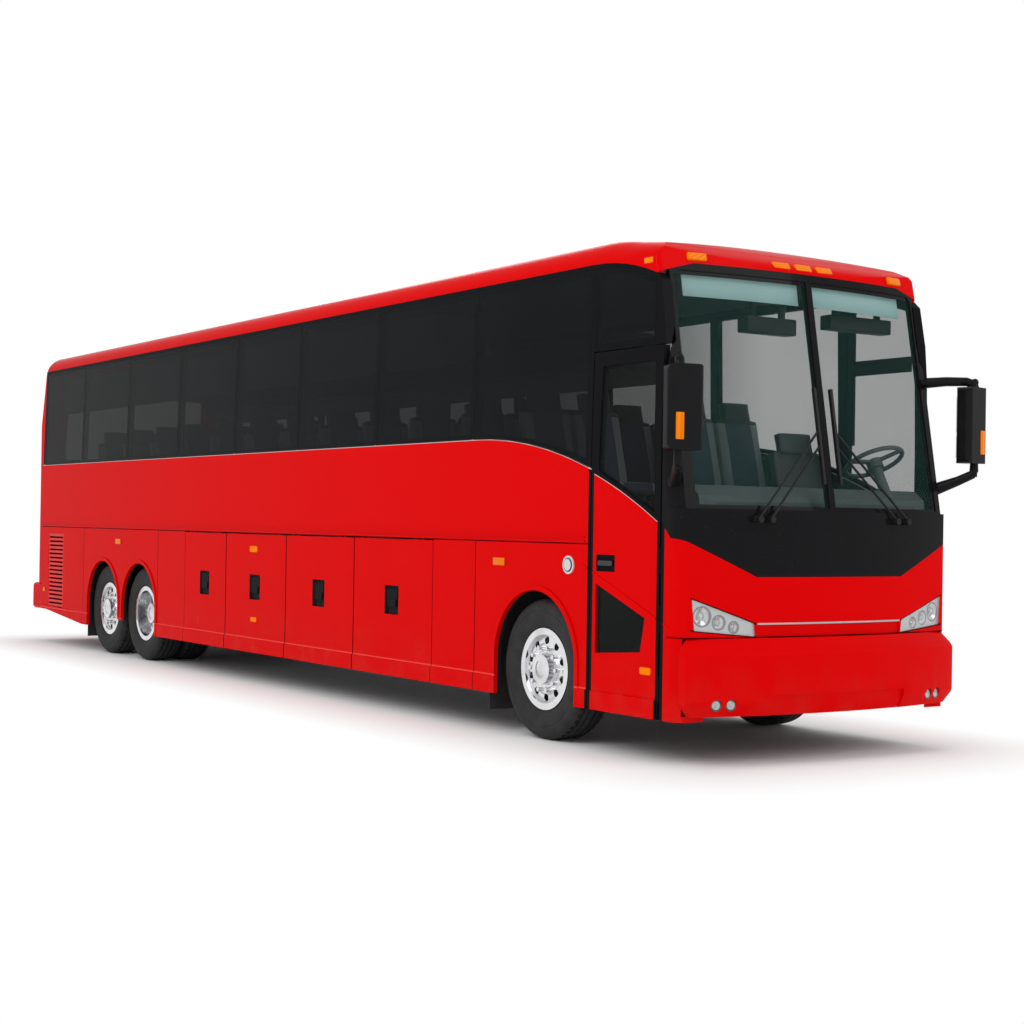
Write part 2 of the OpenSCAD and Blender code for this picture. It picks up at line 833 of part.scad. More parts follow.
module luggage_bay() {
  color("#3a3d40") {
    box([bay_x0 - post_w / 2, -bay_half, bay_z], [bay_x4 + post_w / 2, bay_half, bay_z + 50]);
    for (x = bay_seams)
      box([x - post_w / 2, -bay_half, bay_z + 40], [x + post_w / 2, bay_half, deck_z - deck_t]);
  }
}

module deck() {
  color("#4a4d50") box([tail_x, -bay_half, deck_z - deck_t], [well_x0, bay_half, deck_z]);
}

module cab_floor() {
  run = (bay_half - well_y) / stairs;
  rise = (cab_z - stair_z) / stairs;
  low = stair_z - stair_t;
  color("#4a4d50") {
    intersection() {
      box([well_x0, -well_y, cab_z - 50], [dash_x, bay_half, cab_z]);
      lower_front(wall_t + seat_gap, frame_x - 1000);
    }
    box([well_x0, -bay_half, cab_z - 50], [well_x0 + 20, bay_half, deck_z]);
    box([well_x0, -bay_half, low], [well_x0 + 20, -well_y, deck_z]);
    for (i = [0:stairs - 1]) {
      box([well_x0 + 10, -bay_half + i * run, low + i * rise],
        [well_x1, -bay_half + (i + 1) * run, stair_z + i * rise]);
      box([well_x0 + 10, -bay_half + (i + 1) * run - 20, low + i * rise],
        [well_x1, -bay_half + (i + 1) * run, stair_z + (i + 1) * rise]);
    }
    box([well_x1 - 20, -bay_half, low], [well_x1, -well_y, cab_z + 200]);
  }
}

// Bent sheet over a wheel, drawn in (x, z) from the top's two ends
module liner(x0, x1, low0, low1) {
  t = 20;
  top = tyre_d + 84;
  polygon([[x0 - 130, low0], [x0 - 100, 900], [x0, top + t], [x1, top + t], [x1 + 90, 900], [x1 + 100, low1],
    [x1 + 80, low1], [x1 + 72, 900], [x1 - 8, top], [x0 + 8, top], [x0 - 82, 900], [x0 - 110, low0]]);
}

module wheel_housings() {
  color("#141516") for (s = [-1, 1]) side_plate(s, 500, inner) {
    liner(front_x - 560, front_x + 540, 640, 820);
    liner(tag_x - 520, drive_x + 470, 640, 820);
  }
}

module engine() {
  color("#55585c") box([tail_x + 110, -rail_y, rear_rail_z - 160], [tag_x - 825, rail_y, 1300]);
}

module front_axle() {
  beam_z = axle_z + 22;
  color("#303336") {
    box([front_x - 60, 20 - king_y, axle_z - 58], [front_x + 60, king_y - 20, beam_z]);
    for (s = [-1, 1]) {
      rod_z(axle_z - 68, axle_z + 52, front_x, s * king_y, 60);
      rod_z(axle_z - 113, axle_z + 97, front_x, s * king_y, pin_r);
      rod_z(beam_z - 20, rail_z, front_x, s * (rail_y + rail_w / 2), 100);
    }
  }
}

module rear_axles() {
  color("#303336") {
    translate([drive_x, 0, axle_z]) sphere(r = 190);
    for (s = [-1, 1]) {
      rod_y(s, 0, 560, drive_x, axle_z, 90);
      rod_y(s, 0, 880, tag_x, axle_z, 75);
      rod_y(s, 500, wheel_y + dish_y - 2, drive_x, axle_z, bore_r - seat_gap);
      rod_y(s, 800, wheel_y + disc_y - 2, tag_x, axle_z, bore_r - seat_gap);
      for (x = [drive_x, tag_x]) rod_z(axle_z, rear_rail_z, x, s * (rail_y + rail_w / 2), 95);
    }
  }
}

module knuckle(s) {
  z0 = axle_z - 118;
  z1 = axle_z + 62;
  color("#3a3d40") difference() {
    union() {
      for (z = [z0, z1]) {
        rod_z(z, z + 40, front_x, s * king_y, 60);
        side_box(s, front_x - 40, front_x + 40, king_y, king_y + 80, z, z + 40);
      }
      side_box(s, front_x - 50, front_x + 50, king_y + 66, king_y + 96, z0, z1 + 40);
      rod_y(s, king_y + 90, wheel_y + disc_y - 2, front_x, axle_z, bore_r - seat_gap);
    }
    rod_z(z0 - 20, z1 + 100, front_x, s * king_y, pin_r + seat_gap);
  }
}

module knuckle_left() {
  knuckle(1);
}

module knuckle_right() {
  knuckle(-1);
}

// A turned piece with its axis along y, drawn in (r, distance outwards)
module turned(s, x, y) {
  translate([x, s * y, axle_z]) rotate([-90 * s, 0, 0]) rotate_extrude($fn = 64) children();
}

// Tyre section, drawn in (r, distance from its middle)
module tyre_section() {
  t = tyre_d / 2;
  w = tyre_w / 2;
  seat = lip_r - 22;
  bead = 118;
  polygon([[seat, -bead], [lip_r + 2, -bead], [lip_r + 23, 17 - w], [400, -w], [470, -w], [t - 22, 17 - w],
    [t - 8, 40 - w], [t, -60], [t, 60], [t - 8, w - 40], [t - 22, w - 17], [470, w], [400, w],
    [lip_r + 23, w - 17], [lip_r + 2, bead], [seat, bead]]);
}

module tyre(s, x, y) {
  color("#1a1a1b") turned(s, x, y) tyre_section();
}

// Rim barrel with its two lips, drawn in (r, distance from its middle)
module barrel_section() {
  seat = lip_r - 22;
  bead = 118;
  back = lip_r - 50;
  edge = bead + 14;
  polygon([[back, -edge], [lip_r, -edge], [lip_r, -bead], [seat, -bead], [seat, bead], [lip_r, bead],
    [lip_r, edge], [back, edge]]);
}

// Wheel disc with hand holes, hub and nuts: f is where the disc stands, h how far the hub stands out
module wheel_disc(f, h) {
  rim_r = lip_r - 46;
  hub_r = 125;
  nut_r = 167;
  hole_r = 218;
  difference() {
    union() {
      rotate_extrude($fn = 64) polygon([[0, f - 40], [150, f - 40], [195, f - 24], [240, f - 30],
        [rim_r, f - 56], [rim_r, f - 14], [248, f - 4], [225, f + 2], [200, f + 2], [188, f + 8],
        [150, f + 8], [140, f], [0, f]]);
      translate([0, 0, f - 1]) cylinder(h = h + 1, r1 = hub_r, r2 = hub_r - 12);
      translate([0, 0, f + h - 45]) intersection() {
        cylinder(h = 70, r = hub_r - 16);
        translate([0, 0, -88]) sphere(r = 150);
      }
    }
    for (i = [0:nuts - 1]) rotate([0, 0, (i + 0.5) * 360 / nuts]) translate([hole_r, 0, f - 80])
      cylinder(h = 120, r = 29);
    translate([0, 0, f - 60]) cylinder(h = 60, r = bore_r);
  }
  for (i = [0:nuts - 1]) rotate([0, 0, i * 360 / nuts]) translate([nut_r, 0, f]) cylinder(h = 48, r = 17);
}

module rim(s, x, y, f, h) {
  color("#c9ccd0") {
    turned(s, x, y) barrel_section();
    translate([x, s * y, axle_z]) rotate([-90 * s, 0, 0]) wheel_disc(f, h);
  }
}

module tyre_front_left() {
  tyre(1, front_x, wheel_y);
}

module rim_front_left() {
  rim(1, front_x, wheel_y, disc_y, 60);
}

module tyre_front_right() {
  tyre(-1, front_x, wheel_y);
}

module rim_front_right() {
  rim(-1, front_x, wheel_y, disc_y, 60);
}

module tyre_drive_left() {
  tyre(1, drive_x, wheel_y);
  tyre(1, drive_x, dual_y);
}

module rim_drive(s) {
  mid = (wheel_y - dual_y) / 2;
  rim(s, drive_x, wheel_y, dish_y, 130);
  color("#c9ccd0") {
    turned(s, drive_x, dual_y) barrel_section();
    turned(s, drive_x, dual_y) translate([200, mid - 60]) square([lip_r - 236, 160]);
  }
}

module rim_drive_left() {
  rim_drive(1);
}

module tyre_drive_right() {
  tyre(-1, drive_x, wheel_y);
  tyre(-1, drive_x, dual_y);
}

module rim_drive_right() {
  rim_drive(-1);
}

module tyre_tag_left() {
  tyre(1, tag_x, wheel_y);
}

module rim_tag_left() {
  rim(1, tag_x, wheel_y, disc_y, 60);
}

module tyre_tag_right() {
  tyre(-1, tag_x, wheel_y);
}

module rim_tag_right() {
  rim(-1, tag_x, wheel_y, disc_y, 60);
}

// Luggage door between two seams, on side s, with its handle pocket and paddle
module luggage_door(s, i) {
  x0 = bay_seams[i] + panel_gap;
  x1 = bay_seams[i + 1] - panel_gap;
  mid = (x0 + x1) / 2;
  deep = 22;
  color("#c8000a") {
    difference() {
      union() {
        side_box(s, x0, x1, inner, half, skirt_z, lift_z - 6);
        side_box(s, x0, x1, half - 1, half + skirt_out, skirt_z, skirt_z + skirt_h);
      }
      side_plate(s, half - deep, half + 20) rounded(mid - 120, 840, 240, 250, 25);
    }
    side_plate(s, half - deep - 1, half - 4) rounded(mid - 90, 960, 180, 100, 15);
    side_plate(s, half - deep - 1, half + 3) rounded(mid - 70, 905, 140, 70, 15);
    for (e = [0, 1]) lift_barrel(s, i, e, 0, 70, -1);
    if (i == 1) side_plate(s, half - 1, half + 6) {
      rounded(mid - 115, 1315, 170, 60, 18);
      rounded(mid - 75, 618, 130, 45, 15);
    }
  }
}

module luggage_right_1() {
  luggage_door(-1, 0);
}

module luggage_right_2() {
  luggage_door(-1, 1);
}

module luggage_right_3() {
  luggage_door(-1, 2);
}

module luggage_right_4() {
  luggage_door(-1, 3);
}

module luggage_left_1() {
  luggage_door(1, 0);
}

module luggage_left_2() {
  luggage_door(1, 1);
}

module luggage_left_3() {
  luggage_door(1, 2);
}

module luggage_left_4() {
  luggage_door(1, 3);
}

// Window openings of the entry door, drawn in (x, z)
module door_windows() {
  a = door_x0 + 95;
  b = door_x1 - 75;
  polygon([[a, belt(a) + 20], [b, belt(b) + 20], [b - 20, door_top - 110], [a + 20, door_top - 110]]);
  polygon([[a - 20, crease(a) - 55], [b - 90, crease(b - 90) - 55], [b - 140, 760], [a - 20, 720]]);
}

// Hinge barrels of the entry door: up 1 for the body's share
module entry_barrels(up) {
  for (z = [520, 1000, 1400]) if (up < 0) entry_barrel(z, 80, -1);
    else for (k = [-1, 1]) entry_barrel(z + k * 65, 50, 1);
}

module entry_barrel(z, l, up) {
  g = l / 2 - hinge_gap;
  translate([door_x1, -half, z - g]) cylinder(h = 2 * g, r = swing_r, $fn = 24);
  box([up > 0 ? door_x1 : door_x1 - swing_gap - 1, -half, z - g],
    [up > 0 ? door_x1 + swing_gap + 1 : door_x1, 5 - half, z + g]);
}

module entry_door() {
  x0 = door_x0 + swing_gap;
  x1 = door_x1 - swing_gap;
  color("#c8000a") {
    entry_barrels(-1);
    difference() {
      intersection() {
        wall_layer(true, 0, wall_t);
        along_y(-far, 0) translate([x0, skirt_z]) square([x1 - x0, door_top - swing_gap - skirt_z]);
      }
      along_y(-far, 0) door_windows();
      side_plate(-1, half - 16, half + 20) rounded(x0 + 72, 1310, 220, 120, 20);
    }
    side_plate(-1, half - 17, half + 8) rounded(x0 + 97, 1352, 170, 36, 12);
    side_plate(-1, half, half + 5) crease_line(x0, x1);
    side_plate(-1, half - 1, half + 8) rounded(door_x1 - 205, 610, 120, 50, 15);
    side_plate(-1, half - 1, half + skirt_out) translate([x0, skirt_z]) square([x1 - x0 - 20, skirt_h]);
  }
}

module entry_glass() {
  color("#15181a") intersection() {
    wall_layer(true, 10, 10 + glass_t);
    along_y(-far, 0) door_windows();
  }
}

// Hinge barrels of the engine door: up 1 for the body's share
module engine_barrels(up) {
  for (y = [-500, 500]) if (up < 0) engine_barrel(y, 100, -1);
    else for (k = [-1, 1]) engine_barrel(y + k * 75, 50, 1);
}

module engine_barrel(y, l, up) {
  g = l / 2 - hinge_gap;
  z = hatch_z1 - swing_gap;
  translate([rear_x, y - g, z]) rotate([-90, 0, 0]) cylinder(h = 2 * g, r = swing_r, $fn = 24);
  box([rear_x, y - g, up > 0 ? z : z - swing_gap - 1], [rear_x + 5, y + g, up > 0 ? z + swing_gap + 1 : z]);
}

module engine_door() {
  t = 40;
  y1 = hatch_y - swing_gap;
  color("#c8000a") {
    difference() {
      box([rear_x, -y1, hatch_z0 + swing_gap], [rear_x + t, y1, hatch_z1 - 2 * swing_gap]);
      for (i = [0:9], s = [-1, 1]) along_y(s > 0 ? 60 : 60 - y1, s > 0 ? y1 - 60 : -60)
        translate([rear_x, 0]) slot(hatch_z0 + 120 + i * 60, 28, t);
      box([rear_x - 1, -160, hatch_z0 + 40], [rear_x + 18, 160, hatch_z0 + 100]);
    }
    engine_barrels(-1);
  }
}

// Side view of one seat cushion, from the floor under its foot
module cushion_profile() {
  polygon([[-130, seat_foot_h - 30], [230, seat_foot_h - 30], [262, 400], [268, 445], [245, 478],
    [-130, 452]]);
}

// Side view of the leaning back, which stands on the foot behind the cushion
module back_profile() {
  polygon([[-275, seat_foot_h + seat_gap], [-132, seat_foot_h + seat_gap], [-290, 1020], [-310, 1045],
    [-370, 1045], [-388, 1020]]);
}

// Side view of the headrest on that back
module headrest_profile() {
  polygon([[-290, 1020], [-300, 1085], [-322, 1175], [-345, 1195], [-385, 1190], [-402, 1150], [-388, 1020]]);
}

// Seats side by side on one foot: n cushions of width w
module seat(x, y, z, n, w) {
  for (i = [0:n - 1]) {
    c = y + (i - (n - 1) / 2) * (w + 20);
    along_y(c - w / 2, c + w / 2) translate([x, z]) {
      cushion_profile();
      back_profile();
    }
    along_y(c - w / 2 + 80, c + w / 2 - 80) translate([x, z]) headrest_profile();
  }
  box([x - 230, y - n * w / 2 + 70, z], [x + 180, y + n * w / 2 - 70, z + seat_foot_h]);
}

module seats() {
  color("#3c4450") for (i = [0:rows - 1], s = [-1, 1])
    seat(front_x - 25 - i * row_pitch, s * 740, deck_z, 2, 470);
}

module driver_seat() {
  color("#2c3036") seat(steer_x - 540, steer_y, cab_z, 1, 520);
}

module dashboard() {
  color("#202326") {
    intersection() {
      along_y(-1100, 1100) translate([dash_x, cab_z]) polygon([[0, 0], [0, 620], [-30, 660], [-120, 730],
        [-185, 735], [-215, 700], [-195, 650], [-150, 560], [-130, 200], [-90, 0]]);
      upper_front(wall_t + seat_gap, frame_x - 300);
    }
    translate([steer_x, steer_y, steer_z]) rotate([0, -steer_tilt, 0]) translate([0, 0, -560])
      cylinder(h = 500 - seat_gap, r = 40);
  }
}

module racks() {
  r = 50;
  color("#6a7076") for (s = [-1, 1]) along_x(tail_x + 600, well_x0 - 380) {
    polygon([[s * 700, rack_low + 110], [s * wall_y(rack_low), rack_low], [s * wall_y(rack_top), rack_top],
      [s * 800, rack_top], [s * 690, rack_low + 200]]);
    translate([s * 735, rack_low + 155]) circle(r);
  }
}

module visors() {
  t = 14;
  low = screen_top - 270;
  color("#9fb8b4") for (s = [-1, 1]) {
    intersection() {
      upper_skin(wall_t + 8, wall_t + t, dip_x - 130);
      along_x(dip_x - 130, nose_x + 200)
        polygon([[s * 60, low], [s * 1060, low], [s * 1060, screen_top + 20], [s * 60, screen_top + 20]]);
    }
    intersection() {
      upper_skin(wall_t, wall_t + t, dip_x - 130);
      along_x(dip_x - 130, nose_x + 200) for (y = [200, 880])
        translate([s > 0 ? y : -y - 60, screen_top + 8]) square([60, 30]);
    }
  }
}

module steering_wheel() {
  color("#151617") translate([steer_x, steer_y, steer_z]) rotate([0, -steer_tilt, 0]) {
    rotate_extrude() translate([220, 0]) circle(17);
    translate([0, 0, -60]) cylinder(h = 70, r = 60);
    for (a = [30, 150, 270]) rotate([0, 0, a]) translate([40, -18, -12]) cube([170, 36, 20]);
  }
}

underframe();
luggage_bay();
deck();
cab_floor();
wheel_housings();
engine();
side_right();
side_left();
side_grilles();
roof();
roof_cap();
rear_cap();
front_fascia();
front_mask();
windscreen();
glass_right();
glass_left();
rear_glass();
front_bumper();
rear_bumper();
headlamps();
fog_lamps();
tail_lamps();
marker_lamps();
mirrors();
wipers();
mud_flaps();
front_axle();
rear_axles();
seats();
driver_seat();
dashboard();
racks();
visors();
knuckle_left();
knuckle_right();
tyre_front_left();
rim_front_left();
tyre_front_right();
rim_front_right();
tyre_drive_left();
rim_drive_left();
tyre_drive_right();
rim_drive_right();
tyre_tag_left();
rim_tag_left();
tyre_tag_right();
rim_tag_right();
entry_door();
entry_glass();
luggage_right_1();
luggage_right_2();
luggage_right_3();
luggage_right_4();
luggage_left_1();
luggage_left_2();
luggage_left_3();
luggage_left_4();
engine_door();
steering_wheel();
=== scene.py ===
import math

import bmesh
import bpy
from mathutils import Matrix, Vector


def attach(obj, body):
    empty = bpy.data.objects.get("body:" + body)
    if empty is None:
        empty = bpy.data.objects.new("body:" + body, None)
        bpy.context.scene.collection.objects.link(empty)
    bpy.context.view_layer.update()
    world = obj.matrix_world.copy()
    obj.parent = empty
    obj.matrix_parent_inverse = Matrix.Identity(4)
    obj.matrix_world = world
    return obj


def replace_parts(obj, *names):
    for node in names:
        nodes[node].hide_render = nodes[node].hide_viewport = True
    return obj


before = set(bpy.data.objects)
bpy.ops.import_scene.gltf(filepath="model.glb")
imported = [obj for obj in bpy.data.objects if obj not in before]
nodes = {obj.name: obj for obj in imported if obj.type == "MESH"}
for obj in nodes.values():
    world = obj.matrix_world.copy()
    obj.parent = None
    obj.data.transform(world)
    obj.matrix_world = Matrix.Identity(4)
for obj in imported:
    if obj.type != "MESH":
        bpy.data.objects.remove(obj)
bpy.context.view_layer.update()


# Camera
# The photograph was taken from standing eye height at the coach's right front corner, with a short
# telephoto lens. The viewpoint comes from the fit that also gave the model its sizes.
yaw, pitch, roll = math.radians(33.5519), math.radians(0.359), math.radians(0.8968)
ahead = Vector((-math.cos(yaw) * math.cos(pitch), math.sin(yaw) * math.cos(pitch), math.sin(pitch)))
level = ahead.cross(Vector((0, 0, 1))).normalized()
upright = level.cross(ahead)
to_right = level * math.cos(roll) + upright * math.sin(roll)
to_top = upright * math.cos(roll) - level * math.sin(roll)
camera = bpy.data.objects.new("camera", bpy.data.cameras.new("camera"))
camera.data.sensor_width = 36
camera.data.lens = 60.49
camera.data.clip_end = 200
turn = Matrix((to_right, to_top, -ahead)).transposed().to_4x4()
camera.matrix_world = Matrix.Translation((15.724, -8.677, 1.649)) @ turn
bpy.context.collection.objects.link(camera)
bpy.context.scene.camera = camera
bpy.context.scene.view_settings.view_transform = "Standard"


# Studio floor and light
# A seamless pale floor under a white surround, with large soft lamps above, as in a plain product
# picture. The surround is white to the lens, in gloss and through glass, and softer as a light.
class Value:
    def __init__(self, finish, socket):
        self.finish = finish
        self.socket = socket

    def math(self, operation, a, b=0.0):
        return self.finish.node("ShaderNodeMath", {"operation": operation}, {0: a, 1: b})

    def __add__(self, other):
        return self.math("ADD", self, other)

    def __radd__(self, other):
        return self.math("ADD", other, self)

    def __sub__(self, other):
        return self.math("SUBTRACT", self, other)

    def __rsub__(self, other):
        return self.math("SUBTRACT", other, self)

    def __mul__(self, other):
        return self.math("MULTIPLY", self, other)

    def __rmul__(self, other):
        return self.math("MULTIPLY", other, self)

    def __truediv__(self, other):
        return self.math("DIVIDE", self, other)

    def __gt__(self, other):
        return self.math("GREATER_THAN", self, other)

    def __lt__(self, other):
        return self.math("LESS_THAN", self, other)

    def __or__(self, other):
        return self.math("MAXIMUM", self, other)

    def __and__(self, other):
        return self.math("MULTIPLY", self, other)

    def __abs__(self):
        return self.math("ABSOLUTE", self)

    def root(self):
        return self.math("SQRT", self)

    def wave(self):
        return self.math("SINE", self)

    def ramp(self, low, high):
        return self.finish.node("ShaderNodeMapRange", {"clamp": True},
                                {0: self, 1: low, 2: high, 3: 0.0, 4: 1.0})


class Finish:
    def __init__(self, name):
        self.material = bpy.data.materials.new(name)
        self.material.use_nodes = True
        self.tree = self.material.node_tree
        self.tree.nodes.clear()
        self.coords = self.node("ShaderNodeTexCoord", out="Object")
        split = self.node("ShaderNodeSeparateXYZ", {}, {0: self.coords}).socket.node
        self.x, self.y, self.z = (Value(self, s) for s in split.outputs)

    def node(self, kind, settings=None, sockets=None, out=0):
        made = self.tree.nodes.new(kind)
        for key, value in (settings or {}).items():
            setattr(made, key, value)
        for key, value in (sockets or {}).items():
            if isinstance(value, Value):
                self.tree.links.new(value.socket, made.inputs[key])
            else:
                made.inputs[key].default_value = value
        return Value(self, made.outputs[out]) if made.outputs else made

    def noise(self, scale, detail=3.0, stretch=(1, 1, 1)):
        where = self.node("ShaderNodeMapping", {}, {"Vector": self.coords, "Scale": stretch})
        return self.node("ShaderNodeTexNoise", {}, {"Vector": where, "Scale": scale, "Detail": detail})

    def mix(self, factor, a, b):
        return self.node("ShaderNodeMix", {"data_type": "RGBA"}, {0: factor, 6: a, 7: b}, out=2)

    def bump(self, height, strength, distance):
        return self.node("ShaderNodeBump", {}, {"Height": height, "Strength": strength, "Distance": distance})

    def shade(self, **sockets):
        named = {key.replace("_", " "): value for key, value in sockets.items()}
        self.node("ShaderNodeOutputMaterial", {}, {0: self.node("ShaderNodeBsdfPrincipled", {}, named)})
        return self.material


world = bpy.data.worlds.new("surround")
bpy.context.scene.world = world
world.use_nodes = True
sky = world.node_tree
ray = sky.nodes.new("ShaderNodeLightPath")
lens_or_gloss = sky.nodes.new("ShaderNodeMath")
lens_or_gloss.operation = "MAXIMUM"
sky.links.new(ray.outputs["Is Camera Ray"], lens_or_gloss.inputs[0])
sky.links.new(ray.outputs["Is Glossy Ray"], lens_or_gloss.inputs[1])
or_glass = sky.nodes.new("ShaderNodeMath")
or_glass.operation = "MAXIMUM"
sky.links.new(lens_or_gloss.outputs[0], or_glass.inputs[0])
sky.links.new(ray.outputs["Is Transmission Ray"], or_glass.inputs[1])
soft_light = sky.nodes["Background"]
soft_light.inputs["Color"].default_value = (1, 1, 1, 1)
soft_light.inputs["Strength"].default_value = 0.62
white = sky.nodes.new("ShaderNodeBackground")
white.inputs["Color"].default_value = (1, 1, 1, 1)
white.inputs["Strength"].default_value = 1.0
surround = sky.nodes.new("ShaderNodeMixShader")
sky.links.new(or_glass.outputs[0], surround.inputs[0])
sky.links.new(soft_light.outputs[0], surround.inputs[1])
sky.links.new(white.outputs[0], surround.inputs[2])
sky.links.new(surround.outputs[0], sky.nodes["World Output"].inputs[0])

bm = bmesh.new()
bmesh.ops.create_grid(bm, x_segments=4, y_segments=4, size=60)
bmesh.ops.translate(bm, verts=bm.verts, vec=(0, 0, -0.0005))
floor_mesh = bpy.data.meshes.new("floor")
bm.to_mesh(floor_mesh)
bm.free()
floor = bpy.data.objects.new("floor", floor_mesh)
bpy.context.collection.objects.link(floor)
pale = Finish("studio_floor")
reach_x, reach_y = (abs(pale.x) - 6.75) | 0.0, (abs(pale.y) - 1.15) | 0.0
away = (reach_x * reach_x + reach_y * reach_y).root().ramp(0.0, 1.15)
paper = pale.node("ShaderNodeBsdfPrincipled", {}, {
    "Base Color": pale.mix(pale.noise(0.7, 2) * 0.3, (0.93, 0.93, 0.93, 1), (0.91, 0.91, 0.92, 1)),
    "Roughness": 0.9, "Specular IOR Level": 0.1})
glow = pale.node("ShaderNodeEmission", {}, {"Color": (1, 1, 1, 1), "Strength": 1.0})
faded = pale.node("ShaderNodeMixShader", {}, {0: away, 1: paper, 2: glow})
pale.node("ShaderNodeOutputMaterial", {}, {0: faded})
floor_mesh.materials.append(pale.material)

for lamp_name, spot, size, power in (("key_lamp", (7, -13, 11), 9, 900), ("front_lamp", (17, 5, 9), 8, 520),
                                     ("back_lamp", (-12, 9, 11), 9, 420)):
    lamp = bpy.data.objects.new(lamp_name, bpy.data.lights.new(lamp_name, "AREA"))
    lamp.data.size = size
    lamp.data.energy = power
    lamp.location = spot
    lamp.rotation_euler = (Vector((0, 0, 1.6)) - Vector(spot)).to_track_quat("-Z", "Y").to_euler()
    bpy.context.collection.objects.link(lamp)


# Underframe, axles and knuckles
# Welded steel rails and cross members, the forged front beam, the rear axles and the steering knuckles.
# All are sprayed in black chassis paint, chipped and dusted by the road.
def dress(name, material):
    nodes[name].data.materials.clear()
    nodes[name].data.materials.append(material)


steel = Finish("chassis_paint")
grit = steel.noise(14, 6).ramp(0.45, 0.75)
chips = steel.noise(60, 2).ramp(0.68, 0.72)
chassis_paint = steel.shade(
    Base_Color=steel.mix(chips * 0.7, steel.mix(grit * 0.5, (0.02, 0.021, 0.022, 1), (0.075, 0.066, 0.055, 1)),
                         (0.12, 0.06, 0.03, 1)),
    Roughness=0.45 + grit * 0.35, Normal=steel.bump(steel.noise(45, 5), 0.15, 0.003))
for name in ("underframe", "front_axle", "rear_axles", "knuckle_left", "knuckle_right"):
    dress(name, chassis_paint)


# Engine
# One plain block stands for the engine, gearbox and cooling at the tail. It has the grey of cast iron
# with an oily, sooty skin.
iron = Finish("engine_casting")
oil = iron.noise(6, 5).ramp(0.4, 0.7)
dress("engine", iron.shade(
    Base_Color=iron.mix(oil, (0.10, 0.10, 0.105, 1), (0.03, 0.026, 0.022, 1)),
    Metallic=0.6, Roughness=0.75 - oil * 0.35, Normal=iron.bump(iron.noise(90, 4), 0.4, 0.003)))


# Luggage bay
# Floor and bulkheads of the luggage space are grey plate, welded to the underframe and scuffed along the
# ways that cases slide.
bay = Finish("bay_plate")
scuffs = bay.noise(9, 5, (1, 8, 1)).ramp(0.52, 0.62)
dress("luggage_bay", bay.shade(
    Base_Color=bay.mix(scuffs * 0.6, (0.085, 0.088, 0.092, 1), (0.20, 0.20, 0.205, 1)),
    Roughness=0.6 - scuffs * 0.2, Normal=bay.bump(bay.noise(30, 3), 0.1, 0.002)))


# Passenger deck, cab floor and entry steps
# Plywood under a dark ribbed floor covering. The ribs run along the coach and the treads shine a little
# where people walk.
cover = Finish("ribbed_floor")
ribs = (cover.y * 520).wave()
worn = cover.noise(3, 4).ramp(0.5, 0.75)
ribbed_floor = cover.shade(
    Base_Color=cover.mix(worn * 0.5, (0.055, 0.057, 0.06, 1), (0.11, 0.11, 0.112, 1)),
    Roughness=0.7 - worn * 0.2, Normal=cover.bump(ribs, 0.35, 0.001))
for name in ("deck", "cab_floor"):
    dress(name, ribbed_floor)


# Wheel housings and mud flaps
# Bent sheets close the wheel arches on the inside, and rubber flaps hang behind the wheels. Spray leaves
# a dull film of dirt on them.
lining = Finish("arch_lining")
spray = lining.noise(7, 6).ramp(0.35, 0.7)
arch_lining = lining.shade(
    Base_Color=lining.mix(spray * 0.45, (0.014, 0.014, 0.015, 1), (0.07, 0.06, 0.05, 1)),
    Roughness=0.7 + spray * 0.25, Normal=lining.bump(lining.noise(80, 4), 0.3, 0.002))
for name in ("wheel_housings", "mud_flaps"):
    dress(name, arch_lining)


# Painted shell
# Roof, roof cap, rear shell, bumpers and tail grilles are steel and moulded plastic in one bright red,
# sprayed and lacquered. The lacquer has a faint orange peel, and road dust gathers near the ground. The
# roof cap falls a little towards the front and is grey inside.
JET = (0.007, 0.007, 0.008, 1)
AMBER = (0.92, 0.22, 0.001, 1)


def lacquer(name, zones=None):
    f = Finish(name)
    low = (1 - f.z.ramp(0.25, 0.8)) * f.noise(5, 5).ramp(0.4, 0.8)
    tone = f.mix(f.noise(0.55, 2) * 0.5, (0.70, 0.0005, 0.001, 1), (0.65, 0.0003, 0.0008, 1))
    tone = f.mix(low * 0.12, tone, (0.30, 0.12, 0.09, 1))
    rough = 0.17 + f.noise(2.2, 3) * 0.06 + low * 0.25
    metal = 0.0
    for mask, colour, gloss, metallic in (zones(f) if zones else ()):
        tone = f.mix(mask, tone, colour)
        rough = rough * (1 - mask) + mask * gloss
        metal = mask * metallic if metallic else metal
    return f.shade(Base_Color=tone, Roughness=rough, Metallic=metal, Specular_IOR_Level=0.006,
                   Coat_Weight=0.035, Coat_Roughness=0.03, Normal=f.bump(f.noise(160, 2), 0.02, 0.002))


CAP_SAG = 0.075


def roof_zones(f):
    level = f.z + f.x.ramp(5.60, 6.35) * f.z.ramp(3.49, 3.64) * CAP_SAG
    past_side, past_front = (abs(f.y) - 1.059) | 0.0, (f.x + f.y * f.y / 12.4 - 6.015) | 0.0
    rise_side, rise_front = ((level - 3.52) | 0.0) & (past_side > 0), ((level - 3.262) | 0.0) & (past_front > 0)
    inner_side = (past_side * past_side + rise_side * rise_side).root() < 0.162
    inner_front = (past_front * past_front + rise_front * rise_front).root() < 0.462
    inner_top = level + f.y * f.y / 32 < 3.712
    return ((inner_side & inner_front & inner_top, (0.075, 0.08, 0.08, 1), 0.7, 0),)


